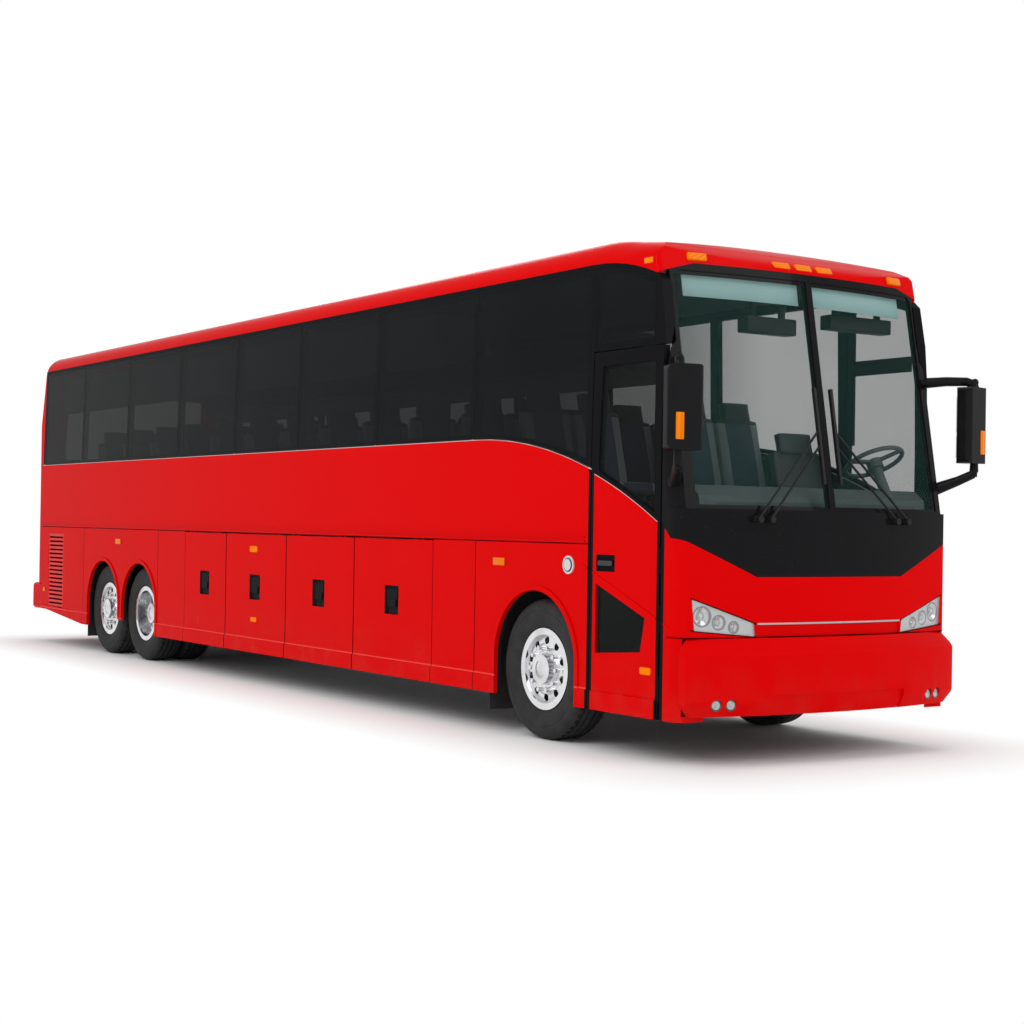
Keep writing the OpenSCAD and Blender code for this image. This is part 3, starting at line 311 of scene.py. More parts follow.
def piece(name, bm, material, body, sharp=40, smooth=True):
    mesh = bpy.data.meshes.new(name)
    bm.to_mesh(mesh)
    bm.free()
    if smooth:
        mesh.shade_smooth()
        mesh.set_sharp_from_angle(angle=math.radians(sharp))
    mesh.materials.append(material)
    made = bpy.data.objects.new(name, mesh)
    bpy.context.collection.objects.link(made)
    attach(made, body)
    return made


def merged(name, cuts=(), axis=(1, 0, 0)):
    bm = bmesh.new()
    bm.from_mesh(nodes[name].data)
    bmesh.ops.remove_doubles(bm, verts=bm.verts, dist=0.0002)
    bmesh.ops.dissolve_limit(bm, angle_limit=math.radians(0.4), verts=bm.verts, edges=bm.edges)
    for cut in cuts:
        bmesh.ops.bisect_plane(bm, geom=bm.verts[:] + bm.edges[:] + bm.faces[:], plane_co=Vector(axis) * cut,
                               plane_no=axis)
    return bm


def eased(name, bm, width, material):
    made = piece("eased_" + name, bm, material, "coach")
    rounding = made.modifiers.new("rounding", "BEVEL")
    rounding.width = width
    rounding.segments = 4
    rounding.limit_method = "ANGLE"
    rounding.angle_limit = math.radians(24)
    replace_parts(made, name)


def ease_in(value, low, high):
    t = min(max((value - low) / (high - low), 0), 1)
    return t * t * (3 - 2 * t)


red_lacquer = lacquer("red_lacquer")
roof_lacquer = lacquer("roof_lacquer", roof_zones)
for name in ("rear_cap", "rear_bumper", "engine_door"):
    dress(name, red_lacquer)
dress("roof", roof_lacquer)
bm = merged("roof_cap", (5.70, 5.80, 5.90, 6.00))
for v in bm.verts:
    v.co.z -= CAP_SAG * ease_in(v.co.x, 5.60, 6.35) * ease_in(v.co.z, 3.49, 3.71)
eased("roof_cap", bm, 0.030, roof_lacquer)
eased("front_bumper", merged("front_bumper"), 0.030, red_lacquer)

grille = Finish("grille_lacquer")
# The slots set back behind the outer skin are painted very dark red as painted shade in the recesses.
slot_shade = abs(grille.y) < 1.279
dress("side_grilles", grille.shade(
    Base_Color=grille.mix(slot_shade, (0.70, 0.0015, 0.004, 1), (0.02, 0.004, 0.004, 1)),
    Roughness=0.25 + grille.noise(20, 4) * 0.2, Specular_IOR_Level=0.1))


# Side walls
# Riveted and bonded skins, red below the window line. Behind and between the bonded panes they are
# black, as is the edge that meets the door's rubber. A round bright cap covers the filler on the right,
# and both walls end along the raked windscreen posts.
BELT_Z, BELT_TURN_X, BELT_R = 2.310, 4.075, 4.72
SHADOW = (0.085, 0.0004, 0.0006, 1)
LINING = (0.020, 0.020, 0.021, 1)
PANEL_SEAM, SKIRT_TOP = 1.505, 0.445
SKIN_Y, LINING_Y, PANE_Y, CAP_Y = 1.286, 1.272, 1.2955, -1.2952
UPRIGHTS = (-5.005, -2.595, 4.075)


def over_belt(f, lift=0.0):
    run = (f.x - BELT_TURN_X) | 0.0
    return f.z - (BELT_R * BELT_R - run * run).root() - (BELT_Z - BELT_R + lift)


# The thin light grey line along the window line is a painted highlight, light caught by the edge of the black
# trim.
def belt_painted_highlight(over):
    return (abs(over) < 0.005, (0.50, 0.50, 0.51, 1), 0.2, 0)


def skin_lines(f, uprights):
    lines = (abs(f.z - PANEL_SEAM) < 0.0045) & (abs(f.y) > SKIN_Y)
    for x in uprights:
        lines = lines | ((abs(f.x - x) < 0.0045) & (f.z < PANEL_SEAM) & (abs(f.y) > SKIN_Y))
    # A lighter red line along the top of the skirt is a painted highlight, light caught by the ridge there.
    skirt_highlight = (abs(f.z - SKIRT_TOP - 0.008) < 0.006) & (abs(f.y) > 1.2945)
    return [(abs(f.y) < LINING_Y, LINING, 0.6, 0), (lines, SHADOW, 0.5, 0),
            (skirt_highlight, (0.86, 0.07, 0.06, 1), 0.2, 0)]


def right_wall(f):
    over = over_belt(f)
    window = (over > 0) & (abs(f.y) < PANE_Y)
    door_edge = (f.x > 5.597) & (f.z < 2.915)
    cap_x, cap_z = f.x - 5.365, f.z - 1.345
    cap_r = (cap_x * cap_x + cap_z * cap_z).root()
    cap, ring = (cap_r < 0.069) & (f.y < CAP_Y), (abs(cap_r - 0.048) < 0.005) & (f.y < CAP_Y)
    return skin_lines(f, UPRIGHTS) + [
        (window | door_edge, JET, 0.28, 0), belt_painted_highlight(over), (cap, (0.62, 0.62, 0.63, 1), 0.25, 0.9),
        (ring, (0.10, 0.10, 0.10, 1), 0.4, 0.9)]


def left_wall(f):
    over = over_belt(f)
    return skin_lines(f, UPRIGHTS) + [((over > 0) & (abs(f.y) < PANE_Y), JET, 0.28, 0), belt_painted_highlight(over)]


RAKE_X, RAKE_Z, RAKE = 6.665, 1.765, math.tan(math.radians(10))


def raked_end(name, material, slot, inset):
    bm = merged(name, (2.80, 3.05), (0, 0, 1))
    for v in bm.verts:
        limit = RAKE_X - inset - (v.co.z - RAKE_Z) * RAKE
        if v.co.z > 2.79 and v.co.x > limit:
            v.co.x = limit
            if slot == "red_paint" and abs(v.co.y) < 1.262:
                v.co.y = math.copysign(1.188, v.co.y)
    made = piece("raked_" + name, bm, material, "coach", smooth=False)
    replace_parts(made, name)


raked_end("side_right", lacquer("right_wall_lacquer", right_wall), "red_paint", 0.0)
raked_end("side_left", lacquer("left_wall_lacquer", left_wall), "red_paint", 0.0)


# Luggage doors
# Pressed panels hinged along the top. Each has a black moulded handle in a pocket at its middle, and the
# second door on each side carries two amber lamps.
seams = (-1.825, -0.745, 0.655, 2.035, 3.415)


def luggage_zones(middle, half_length, lamps):
    def zones(f):
        along = f.x - middle
        pocket = (abs(along) < 0.1205) & (abs(f.z - 0.965) < 0.1255)
        edge = ((abs(along) > half_length - 0.008) | (f.z > PANEL_SEAM - 0.012)) & (abs(f.y) > SKIN_Y)
        out = skin_lines(f, ()) + [(edge, SHADOW, 0.5, 0), (pocket, (0.012, 0.012, 0.013, 1), 0.38, 0)]
        if lamps:
            upper = (abs(along + 0.03) < 0.086) & (abs(f.z - 1.345) < 0.031)
            lower = (abs(along + 0.01) < 0.066) & (abs(f.z - 0.6405) < 0.0235)
            out.append(((upper | lower) & (abs(f.y) > 1.2953), AMBER, 0.15, 0))
        return out
    return zones


for number in range(4):
    middle = (seams[number] + seams[number + 1]) / 2
    door_lacquer = lacquer("luggage_lacquer_%d" % (number + 1), luggage_zones(
        middle, (seams[number + 1] - seams[number]) / 2, number == 1))
    for side in ("right", "left"):
        dress("luggage_%s_%d" % (side, number + 1), door_lacquer)


# Entry door
# A framed door at the right front corner, hinged at its front edge. Its upper half is black round the
# glass, black rubber seals both upright edges, and a lever sits in a dark pocket at hip height.
def entry_zones(f):
    seal = (f.x < 5.664) | (f.x > 6.405)
    handle = (abs(f.x - 5.815) < 0.111) & (abs(f.z - 1.37) < 0.061)
    lever = (abs(f.x - 5.815) < 0.086) & (abs(f.z - 1.37) < 0.0185) & (f.y < -1.297)
    lamp = (abs(f.x - 6.30) < 0.061) & (abs(f.z - 0.635) < 0.026) & (f.y < -1.2953)
    over = over_belt(f, -0.02)
    inside = (f.y > -LINING_Y, LINING, 0.6, 0)
    return (inside, belt_painted_highlight(over), ((over > 0) | seal | handle, JET, 0.3, 0), (lamp, AMBER, 0.15, 0),
            (lever, (0.06, 0.06, 0.062, 1), 0.25, 0))


dress("entry_door", lacquer("entry_lacquer", entry_zones))


# Front panel
# The red moulding under the black screen panel, with pockets for the headlamps and painted shade along the
# seams round them and over the bumper. Rubber lines its edge at the entry door, and a polished strip joins the
# lamps.
def front_zones(f):
    seal = (f.x < 6.487) & (f.y < 0)
    lamp_top = abs(f.z - 0.737 - abs(f.y) * 0.3414) < 0.0075
    lamp_foot = abs(f.z - 0.826 - abs(f.y) * 0.0905) < 0.0075
    lamp_edge = (lamp_top | lamp_foot) & (abs(f.y) > 0.70) & (abs(f.y) < 1.22)
    bumper_seam = ((abs(f.z - 0.884) < 0.005) & (f.x > 6.52)) | ((f.x > 6.651) & (f.z < 0.889) & (f.z > 0.352))
    return ((seal, JET, 0.35, 0), (lamp_edge | bumper_seam, SHADOW, 0.5, 0))


dress("front_fascia", lacquer("front_lacquer", front_zones))

NOSE_X, NOSE_R = 6.805, 6.2
CORNER_X, CORNER_R, HALF = 6.550, 0.180, 1.295


def nose_x(y, inset=0.0):
    bow = NOSE_X - NOSE_R + math.sqrt((NOSE_R - inset) ** 2 - y * y)
    past = abs(y) - (HALF - CORNER_R)
    if past > 0:
        bow = min(bow, CORNER_X + math.sqrt(max((CORNER_R - inset) ** 2 - past * past, 0)))
    return bow


def thicken(bm, wall):
    bm.normal_update()
    if sum(face.normal.x for face in bm.faces) < 0:
        bmesh.ops.reverse_faces(bm, faces=bm.faces)
        bm.normal_update()
    bmesh.ops.solidify(bm, geom=bm.faces, thickness=wall)
    bmesh.ops.recalc_face_normals(bm, faces=bm.faces)


polish = Finish("polished_trim")
streak = polish.noise(6, 4, (1, 1, 30))
polished_trim = polish.shade(Base_Color=(0.42, 0.42, 0.43, 1), Metallic=1.0, Roughness=0.18 + streak * 0.15)

bm = bmesh.new()
bmesh.ops.create_grid(bm, x_segments=40, y_segments=1, size=1)
for v in bm.verts:
    y = v.co.x * 0.690
    v.co = (nose_x(y) + 0.003, y, 0.977 + v.co.y * 0.006)
thicken(bm, 0.006)
piece("lamp_strip", bm, polished_trim, "coach")


# Black screen panel, mirrors and wipers
# The panel that carries the windscreen is gloss black from the lamps to the roof. The mirror heads match
# it, moulded sleeves cover their arms, and the wipers are satin black.
gloss = Finish("black_lacquer")
specks = gloss.noise(90, 2).ramp(0.66, 0.74)
black_lacquer = gloss.shade(
    Base_Color=gloss.mix(specks * 0.08, JET, (0.2, 0.19, 0.18, 1)),
    Roughness=0.12 + gloss.noise(3, 3) * 0.08, Specular_IOR_Level=0.03, Coat_Weight=0.05, Coat_Roughness=0.03,
    Normal=gloss.bump(gloss.noise(160, 2), 0.015, 0.002))
dress("front_mask", black_lacquer)

mould = Finish("mirror_moulding")
mirror_moulding = mould.shade(
    Base_Color=mould.mix(mould.noise(6, 3), (0.006, 0.006, 0.007, 1), (0.011, 0.011, 0.012, 1)),
    Roughness=0.16 + mould.noise(4, 3) * 0.10, Specular_IOR_Level=0.05, Coat_Weight=0.05,
    Normal=mould.bump(mould.noise(200, 2), 0.02, 0.001))
dress("mirrors", mirror_moulding)
for side, sign in (("right", -1), ("left", 1)):
    bm = bmesh.new()
    for route in (((6.500, 1.235, 2.768, 0.040), (6.620, 1.312, 2.776, 0.036), (6.745, 1.400, 2.772, 0.034),
                   (6.788, 1.430, 2.752, 0.034), (6.797, 1.436, 2.715, 0.034)),
                  ((6.530, 1.250, 1.940, 0.050), (6.700, 1.370, 2.020, 0.036), (6.785, 1.428, 2.068, 0.034),
                   (6.796, 1.436, 2.100, 0.034), (6.796, 1.436, 2.160, 0.030))):
        rings = []
        for number, (x, y, z, r) in enumerate(route):
            a, b = route[max(number - 1, 0)], route[min(number + 1, len(route) - 1)]
            along = Vector((b[0] - a[0], sign * (b[1] - a[1]), b[2] - a[2])).to_track_quat("Z", "Y").to_matrix()
            place = Matrix.Translation((x, sign * y, z)) @ along.to_4x4()
            ring = bmesh.ops.create_circle(bm, cap_ends=False, radius=r, segments=16, matrix=place)["verts"]
            rings.append(list({e for v in ring for e in v.link_edges}))
        for one, two in zip(rings, rings[1:]):
            bmesh.ops.bridge_loops(bm, edges=one + two)
        bmesh.ops.holes_fill(bm, edges=rings[0] + rings[-1], sides=0)
    bmesh.ops.recalc_face_normals(bm, faces=bm.faces)
    piece("mirror_sleeves_" + side, bm, mirror_moulding, "coach")

satin = Finish("satin_black")
satin_black = satin.shade(
    Base_Color=satin.mix(satin.noise(12, 4), (0.007, 0.007, 0.008, 1), (0.014, 0.014, 0.015, 1)),
    Roughness=0.42 + satin.noise(40, 3) * 0.15, Specular_IOR_Level=0.15,
    Normal=satin.bump(satin.noise(300, 2), 0.1, 0.001))
dress("wipers", satin_black)


# Windscreen
# Two panes of laminated glass with a faint green tint, bonded into the black panel. A printed black
# border hides the bond line.
screen = Finish("screen_glass")
border = (abs(screen.y) > 1.152) | (abs(screen.y) < 0.040) | (screen.z > 3.40) | (screen.z < 1.795)
film = screen.noise(1.3, 4)
dress("windscreen", screen.shade(
    Base_Color=screen.mix(border, (0.030, 0.085, 0.072, 1), JET),
    Roughness=0.015 + film * 0.02, Alpha=(0.11 + film * 0.03) * (1 - border) + border,
    Specular_IOR_Level=0.06))


# Side, rear and door glass
# Dark privacy glass bonded flush to the body, which hints at the seats behind. The driver's window and
# the entry door have lighter panes.
tint = Finish("privacy_glass")
haze = tint.noise(0.9, 4)
privacy_glass = tint.shade(
    Base_Color=tint.mix(haze * 0.6, (0.006, 0.007, 0.008, 1), (0.014, 0.016, 0.017, 1)),
    Roughness=0.02 + haze * 0.03, Alpha=0.60 + haze * 0.06 - tint.x.ramp(3.2, 4.6) * (tint.y > 0) * 0.24,
    Specular_IOR_Level=0.03)
dress("rear_glass", privacy_glass)
for name in ("glass_right", "glass_left"):
    raked_end(name, privacy_glass, "dark_glass", 0.020)
door_tint = Finish("door_glass")
smear = door_tint.noise(1.1, 4)
dress("entry_glass", door_tint.shade(
    Base_Color=door_tint.mix(smear, (0.008, 0.010, 0.010, 1), (0.016, 0.019, 0.019, 1)),
    Roughness=0.02 + smear * 0.03, Alpha=0.27 + smear * 0.08, Specular_IOR_Level=0.04))


# Headlamps
# Each bright housing holds three round bowls with dark rims, behind a clear moulded cover that follows
# the corner of the front panel.
shell = Finish("lamp_housing")
bowl = rim = shell.y * 0
for lamp_y, lamp_z, lamp_r in ((1.120, 1.030, 0.066), (0.990, 0.988, 0.048), (0.872, 0.955, 0.038)):
    dy, dz = abs(shell.y) - lamp_y, shell.z - lamp_z
    out = (dy * dy + dz * dz).root() - lamp_r
    bowl, rim = bowl | (out < 0.0), rim | (abs(out - 0.001) < 0.0065) | (abs(out + lamp_r * 0.55) < 0.003)
dress("headlamps", shell.shade(
    Base_Color=shell.mix(rim, shell.mix(bowl, (0.46, 0.48, 0.48, 1), (0.52, 0.53, 0.54, 1)),
                         (0.04, 0.04, 0.042, 1)),
    Metallic=0.5 + bowl * 0.4 - rim * 0.5, Roughness=0.28 - bowl * 0.18,
    Normal=shell.bump(shell.noise(60, 2), 0.05, 0.002)))

lens = Finish("lamp_cover")
lamp_cover = lens.shade(
    Base_Color=lens.mix(lens.noise(8, 3), (0.75, 0.78, 0.80, 1), (0.85, 0.87, 0.88, 1)),
    Roughness=0.02 + lens.noise(5, 3) * 0.03, Alpha=0.14 + lens.noise(3, 3) * 0.05, Specular_IOR_Level=0.6)
for side, sign in (("right", -1), ("left", 1)):
    bm = bmesh.new()
    bmesh.ops.create_grid(bm, x_segments=30, y_segments=10, size=1)
    for v in bm.verts:
        u, w = (v.co.x + 1) / 2, (v.co.y + 1) / 2
        low = Vector((0.706, 0.8915)).lerp(Vector((1.188, 0.936)), u)
        high = Vector((0.717, 0.980)).lerp(Vector((1.208, 1.148)), u)
        y, z = low.lerp(high, w)
        v.co = (nose_x(y, 0.003), sign * y, z)
    thicken(bm, 0.004)
    piece("headlamp_cover_" + side, bm, lamp_cover, "coach")


# Fog lamps, tail lamps and marker lamps
# Moulded lenses with fine flutes inside: clear with dark bezels in the bumper, red at the tail, amber
# along the sides and on the roof cap.
FOG_Z = 0.432
clear = Finish("fog_lens")
flutes = (clear.y * 900).wave()
lens_y, lens_z = abs(abs(clear.y) - 1.010) - 0.055, clear.z - FOG_Z
bezel = (lens_y * lens_y + lens_z * lens_z).root() > 0.030
dress("fog_lamps", clear.shade(
    Base_Color=clear.mix(bezel, clear.mix(clear.noise(60, 2), (0.20, 0.21, 0.215, 1), (0.62, 0.64, 0.65, 1)),
                         (0.05, 0.05, 0.052, 1)),
    Metallic=0.6 - bezel * 0.6, Roughness=0.12 + clear.noise(30, 2) * 0.08,
    Normal=clear.bump(flutes, 0.3, 0.001)))
ruby = Finish("tail_lens")
facets = (ruby.y * 500).wave() * (ruby.z * 500).wave()
dress("tail_lamps", ruby.shade(
    Base_Color=ruby.mix(facets.ramp(-1, 1), (0.35, 0.004, 0.004, 1), (0.60, 0.012, 0.010, 1)),
    Roughness=0.12 + ruby.noise(30, 2) * 0.05, Coat_Weight=0.5, Normal=ruby.bump(facets, 0.25, 0.001)))
amber = Finish("amber_lens")
prisms = (amber.x * 700).wave() + (amber.y * 700).wave()
amber_lens = amber.shade(
    Base_Color=amber.mix(prisms.ramp(-2, 2), (0.74, 0.135, 0.0005, 1), (0.98, 0.27, 0.002, 1)),
    Roughness=0.18 + amber.noise(30, 2) * 0.05, Specular_IOR_Level=0.08, Normal=amber.bump(prisms, 0.2, 0.001))


def slab(bm, low, high, bevel, segments=3, place=Matrix()):
    low, high = Vector(low), Vector(high)
    before = set(bm.verts)
    made = bmesh.ops.create_cube(bm, size=1)["verts"]
    bmesh.ops.scale(bm, verts=made, vec=high - low)
    bmesh.ops.translate(bm, verts=made, vec=(low + high) / 2)
    edges = list({e for v in made for e in v.link_edges})
    if bevel:
        bmesh.ops.bevel(bm, geom=edges, offset=bevel, affect="EDGES", segments=segments, profile=0.5,
                        material=-1)
    bmesh.ops.transform(bm, matrix=place, verts=[v for v in bm.verts if v not in before])


bm = bmesh.new()
for y, x, z, lean in ((-0.967, 6.391, 3.532, 16), (-0.21, 6.424, 3.536, 32), (0, 6.426, 3.536, 32),
                      (0.21, 6.424, 3.536, 32), (0.967, 6.391, 3.532, 16)):
    bow = Matrix.Rotation(y / 6.2, 4, "Z")
    place = Matrix.Translation((x, y, z)) @ bow @ Matrix.Rotation(math.radians(-lean), 4, "Y")
    slab(bm, (-0.030, -0.075, -0.027), (0.012, 0.075, 0.027), 0.006, place=place)
for sign in (-1, 1):
    for x, z, length, height in ((-3.825, 1.355, 0.160, 0.060), (4.425, 1.345, 0.160, 0.060),
                                 (-6.475, 0.685, 0.070, 0.050)):
        slab(bm, (x - length / 2, sign * 1.300 - 0.0045, z - height / 2),
             (x + length / 2, sign * 1.300 + 0.0045, z + height / 2), 0.003)
    slab(bm, (6.185, sign * 1.262 - 0.012, 3.478), (6.280, sign * 1.262 + 0.012, 3.518), 0.005)
lenses = piece("marker_lenses", bm, amber_lens, "coach")
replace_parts(lenses, "marker_lamps")


# Mirror glasses and repeaters
# Each mirror head holds a flat main glass and a smaller one below it, facing back. An amber repeater
# strip stands on the front of the head, towards the outside.
silver = Finish("mirror_silver")
mirror_silver = silver.shade(Base_Color=(0.86, 0.87, 0.88, 1), Metallic=1.0,
                             Roughness=0.015 + silver.noise(4, 3) * 0.02)
for side, sign in (("right", -1), ("left", 1)):
    head = Matrix.Translation((6.795, sign * 1.400, 0)) @ Matrix.Rotation(math.radians(sign * 12), 4, "Z")
    bm = bmesh.new()
    slab(bm, (-0.0675, -0.105, 2.385), (-0.0625, 0.105, 2.685), 0.002)
    slab(bm, (-0.0675, -0.105, 2.190), (-0.0625, 0.105, 2.360), 0.002)
    bmesh.ops.transform(bm, matrix=head, verts=bm.verts)
    piece("mirror_glass_" + side, bm, mirror_silver, "coach")
    bm = bmesh.new()
    slab(bm, (0.060, sign * 0.055 - 0.030, 2.22), (0.071, sign * 0.055 + 0.030, 2.40), 0.004)
    bmesh.ops.transform(bm, matrix=head, verts=bm.verts)
    piece("mirror_repeater_" + side, bm, amber_lens, "coach")


# Tyres
# Steel-belted truck tyres with four grooves round the tread, blocks cut along both shoulders and a
# raised ring on each side wall. The rubber is greyed by dust.
gum = Finish("tyre_rubber")
road = gum.noise(11, 6).ramp(0.38, 0.72)
tyre_rubber = gum.shade(
    Base_Color=gum.mix(road * 0.35, (0.014, 0.014, 0.015, 1), (0.075, 0.072, 0.068, 1)),
    Roughness=0.72 + road * 0.2, Specular_IOR_Level=0.3, Normal=gum.bump(gum.noise(120, 4), 0.25, 0.002))
AXLE_Z = 0.538
side_wall = ((0.290, 0.118), (0.314, 0.118), (0.335, 0.140), (0.368, 0.152), (0.402, 0.157), (0.436, 0.157),
             (0.439, 0.1545), (0.447, 0.1545), (0.450, 0.157), (0.472, 0.157), (0.500, 0.150), (0.514, 0.141),
             (0.524, 0.128), (0.531, 0.117), (0.5335, 0.112), (0.5365, 0.088), (0.523, 0.086), (0.523, 0.076),
             (0.5375, 0.074), (0.538, 0.037), (0.524, 0.035), (0.524, 0.025), (0.538, 0.023))


def tyre_ring(bm, x, y):
    steps = 96
    loop = [bm.verts.new((x, y + t, AXLE_Z + r)) for r, t in side_wall]
    loop += [bm.verts.new((x, y - t, AXLE_Z + r)) for r, t in reversed(side_wall)]
    edges = [bm.edges.new((a, b)) for a, b in zip(loop, loop[1:] + loop[:1])]
    before = set(bm.faces)
    bmesh.ops.spin(bm, geom=loop + edges, cent=(x, y, AXLE_Z), axis=(0, 1, 0), angle=math.tau, steps=steps,
                   use_merge=True)
    fresh = [face for face in bm.faces if face not in before]
    bmesh.ops.recalc_face_normals(bm, faces=fresh)
    blocks = []
    for face in fresh:
        spot = face.calc_center_median() - Vector((x, y, AXLE_Z))
        around = math.atan2(spot.z, spot.x) / math.tau * steps
        if 0.090 < abs(spot.y) < 0.112 and math.floor(around) % 2 == 0:
            blocks.append(face)
    bmesh.ops.inset_individual(bm, faces=blocks, thickness=0.004, depth=-0.010)


wheels = {"front": (4.925, (1.068,)), "drive": (-3.165, (1.068, 0.723)), "tag": (-4.325, (1.068,))}
for side, sign in (("right", -1), ("left", 1)):
    for axle, (x, rows) in wheels.items():
        bm = bmesh.new()
        for y in rows:
            tyre_ring(bm, x, sign * y)
        name = axle + "_" + side
        tyre = piece("tread_tyre_" + name, bm, tyre_rubber, "wheel_" + name, sharp=30)
        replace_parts(tyre, "tyre_" + name)


# Wheels
# Forged alloy discs with ten round hand holes, ten nuts and a domed hub cover, turned on a lathe and
# polished. Fine rings from the tool and a little brake dust stay on the metal.
for axle, (x, rows) in wheels.items():
    alloy = Finish("polished_wheel_" + axle)
    out_x, out_z = alloy.x - x, alloy.z - AXLE_Z
    radius = (out_x * out_x + out_z * out_z).root()
    rings = (radius * 2600).wave()
    soot = alloy.noise(9, 5).ramp(0.45, 0.8) * (1 - radius.ramp(0.10, 0.30) * 0.5)
    finish = alloy.shade(
        Base_Color=alloy.mix(soot * 0.45, (0.74, 0.745, 0.76, 1), (0.22, 0.21, 0.20, 1)),
        Metallic=1.0, Roughness=0.16 + soot * 0.3, Normal=alloy.bump(rings, 0.06, 0.0006))
    for side in ("right", "left"):
        dress("rim_%s_%s" % (axle, side), finish)


# Seats
# Twenty-four double passenger seats and the driver's seat: foam cushions with leaning backs and padded
# headrests, covered in grey-blue woven cloth with sewn channels, on dark moulded feet.
cloth = Finish("woven_cloth")
weft = (cloth.y * 1500).wave() * (cloth.z * 1500).wave()
fleck = cloth.noise(220, 2).ramp(0.5, 0.7)
panel = ((abs(cloth.y) - 0.495) * (math.tau / 0.49) + math.pi / 2).wave() > -0.25
head = cloth.z > 2.515
tone = cloth.mix(panel, (0.22, 0.26, 0.27, 1), (0.028, 0.040, 0.075, 1))
tone = cloth.mix(head, tone, (0.016, 0.017, 0.019, 1))
woven_cloth = cloth.shade(
    Base_Color=cloth.mix(fleck * 0.25, tone, (0.13, 0.14, 0.16, 1)),
    Roughness=0.85 + fleck * 0.1, Sheen_Weight=0.3, Normal=cloth.bump(weft, 0.35, 0.001))
hide = Finish("driver_leather")
folds = hide.noise(18, 5).ramp(0.4, 0.7)
driver_leather = hide.shade(
    Base_Color=hide.mix(folds, (0.016, 0.017, 0.019, 1), (0.030, 0.032, 0.035, 1)),
    Roughness=0.5 + folds * 0.2, Normal=hide.bump(hide.noise(300, 3), 0.25, 0.001))


def cushion(bm, centre, size, lean, channels, crown):
    before = len(bm.verts)
    made = bmesh.ops.create_cube(bm, size=2)["verts"]
    edges = list({e for v in made for e in v.link_edges})
    bmesh.ops.subdivide_edges(bm, edges=edges, cuts=5, use_grid_fill=True)
    verts = list(bm.verts)[before:]
    thick = min(range(3), key=lambda i: size[i])
    a, b = [i for i in range(3) if i != thick]
    for v in verts:
        u, w = v.co[a], v.co[b]
        swell = (1 - u * u) * (1 - w * w)
        v.co[thick] *= 1 - crown + crown * swell
        if channels and abs(abs(u if a == 1 else w) - 0.67) < 0.05:
            v.co[thick] *= 0.86
        pull = 1 - 0.05 * (1 - w * w) if abs(u) > 0.99 else 1
        v.co[a] *= pull
    for _ in range(2):
        bmesh.ops.smooth_vert(bm, verts=verts, factor=0.35, use_axis_x=True, use_axis_y=True, use_axis_z=True)
    bmesh.ops.scale(bm, verts=verts, vec=Vector(size) / 2)
    bmesh.ops.rotate(bm, verts=verts, cent=(0, 0, 0), matrix=Matrix.Rotation(math.radians(lean), 3, "Y"))
    bmesh.ops.translate(bm, verts=verts, vec=centre)


def seat_pads(bm, x, y, z, width):
    cushion(bm, (x + 0.018, y, z + 0.426), (0.49, width, 0.110), -3.5, True, 0.30)
    cushion(bm, (x - 0.277, y, z + 0.760), (0.112, width, 0.60), -14.3, True, 0.28)
    cushion(bm, (x - 0.345, y, z + 1.105), (0.092, width - 0.165, 0.175), -14.3, False, 0.25)


def foot(bm, x, y, z, half_width):
    slab(bm, (x - 0.155, y - half_width, z), (x + 0.175, y + half_width, z + 0.372), 0.015)


ROWS, FIRST_ROW_X, PITCH = 12, 4.900, 0.850
PAIR_Y, DECK_Z = 0.740, 1.500
pads, feet = bmesh.new(), bmesh.new()
for row in range(ROWS):
    x = FIRST_ROW_X - row * PITCH
    for side in (-1, 1):
        for place in (-0.245, 0.245):
            seat_pads(pads, x, side * PAIR_Y + place, DECK_Z, 0.466)
        foot(feet, x, side * PAIR_Y, DECK_Z, 0.395)
passenger_pads = piece("passenger_cushions", pads, woven_cloth, "coach", sharp=70)
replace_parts(passenger_pads, "seats")
piece("passenger_seat_feet", feet, satin_black, "coach")

DRIVER = (5.860, 0.780, 1.200)
pads, feet = bmesh.new(), bmesh.new()
seat_pads(pads, *DRIVER, 0.516)
foot(feet, *DRIVER, 0.185)
driver_pads = piece("driver_cushions", pads, driver_leather, "coach", sharp=70)
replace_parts(driver_pads, "driver_seat")
piece("driver_seat_foot", feet, satin_black, "coach")


# Dashboard and steering wheel
# Grained dark plastic over a steel frame, screwed to the cab floor, and a foam-covered steering wheel on
# a raked column. Both have a leather-like grain without shine.
grain = Finish("grained_plastic")
pores = grain.noise(260, 3)
grained = grain.shade(
    Base_Color=grain.mix(grain.noise(5, 3), (0.050, 0.062, 0.064, 1), (0.066, 0.080, 0.082, 1)),
    Roughness=0.55 + pores * 0.2, Normal=grain.bump(pores, 0.3, 0.001))
for name in ("dashboard", "steering_wheel"):
    dress(name, grained)


# Driver's window frame
# A black bar and post divide the driver's side window on the inside. They are pressed steel, painted
# satin black and screwed to the left wall.
bm = bmesh.new()
slab(bm, (5.70, 1.226, 2.865), (6.34, 1.240, 2.985), 0.004)
slab(bm, (5.655, 1.226, 2.310), (5.735, 1.240, 3.480), 0.004)
piece("driver_window_frame", bm, satin_black, "coach")


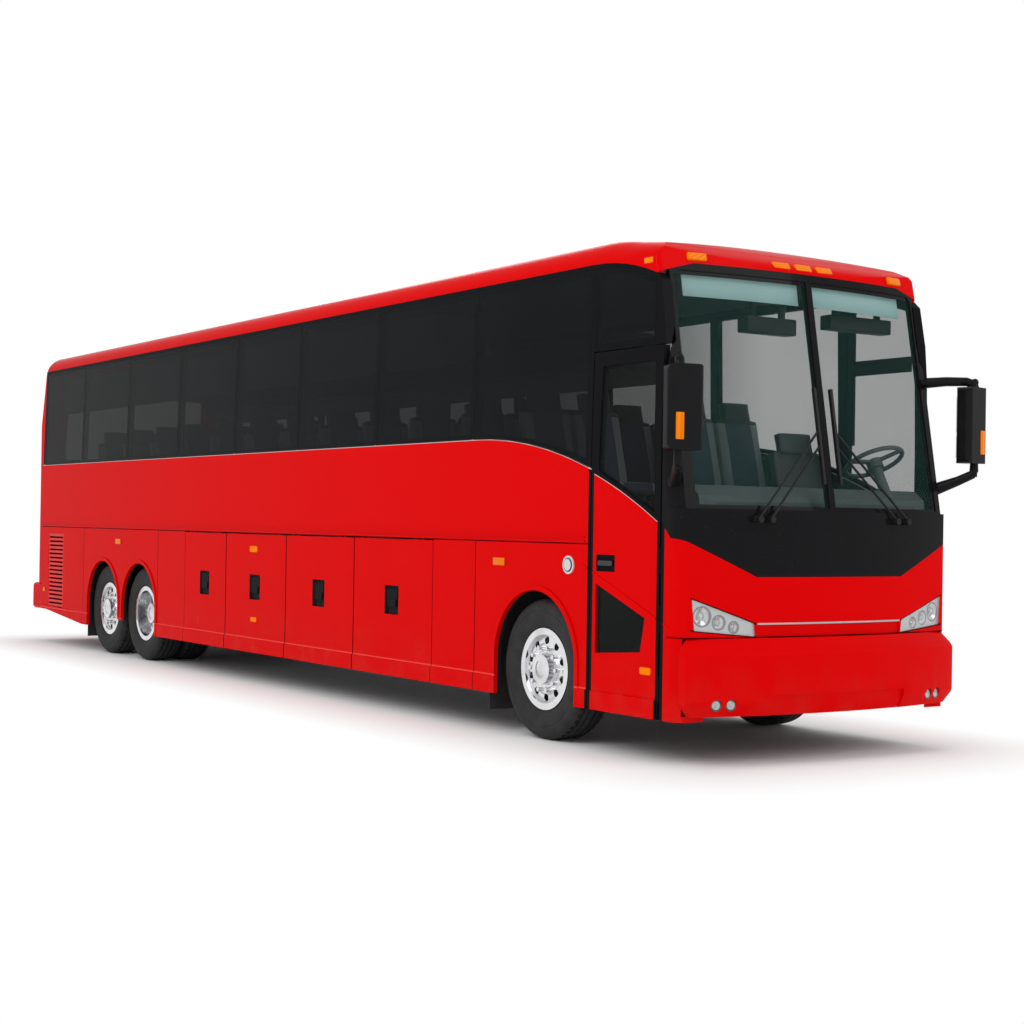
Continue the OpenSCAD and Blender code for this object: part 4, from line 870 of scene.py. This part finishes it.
# Overhead boxes
# Two dark moulded boxes hang on short stems from the roof behind the windscreen, one over the aisle and
# one over the driver.
bm = bmesh.new()
for low_y, high_y, low_z, high_z in ((-0.40, 0.08, 3.06, 3.18), (0.42, 1.06, 3.14, 3.25)):
    slab(bm, (6.17, low_y, low_z), (6.29, high_y, high_z), 0.012)
    for y in (low_y + 0.10, high_y - 0.10):
        slab(bm, (6.215, y - 0.025, high_z - 0.01), (6.245, y + 0.025, 3.615), 0.004)
piece("overhead_boxes", bm, satin_black, "coach")


# Parcel racks
# Long moulded boxes in dark grey over both seat rows, with a slight grain and seams between lengths. They
# are bolted to the roof and end some way behind the driver.
rack = Finish("rack_moulding")
joints = abs((rack.x * (math.pi / 1.4)).wave()) < 0.012
rack_moulding = rack.shade(
    Base_Color=rack.mix(joints, rack.mix(rack.noise(4, 3), (0.030, 0.034, 0.035, 1), (0.042, 0.046, 0.047, 1)),
                        (0.03, 0.03, 0.03, 1)),
    Roughness=0.55 + rack.noise(60, 3) * 0.15, Normal=rack.bump(rack.noise(240, 2), 0.15, 0.001))


def trimmed(name, point, away, made_name, material):
    bm = merged(name)
    bmesh.ops.bisect_plane(bm, geom=bm.verts[:] + bm.edges[:] + bm.faces[:], plane_co=point, plane_no=away,
                           clear_inner=True)
    bmesh.ops.holes_fill(bm, edges=[e for e in bm.edges if e.is_boundary], sides=0)
    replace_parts(piece(made_name, bm, material, "coach", smooth=False), name)


trimmed("racks", (3.30, 0, 0), (-1, 0, 0), "rack_lengths", rack_moulding)


# Sun visors
# Pale green-grey tinted sheets that hang behind the top of the windscreen on short brackets. They are
# shown drawn part of the way up.
sheet = Finish("visor_sheet")
visor_sheet = sheet.shade(
    Base_Color=sheet.mix(sheet.noise(3, 4), (0.36, 0.60, 0.58, 1), (0.44, 0.68, 0.66, 1)),
    Roughness=0.35 + sheet.noise(30, 3) * 0.15, Normal=sheet.bump((sheet.z * 900).wave(), 0.08, 0.001))
trimmed("visors", (0, 0, 3.255), (0, 0, 1), "rolled_visors", visor_sheet)
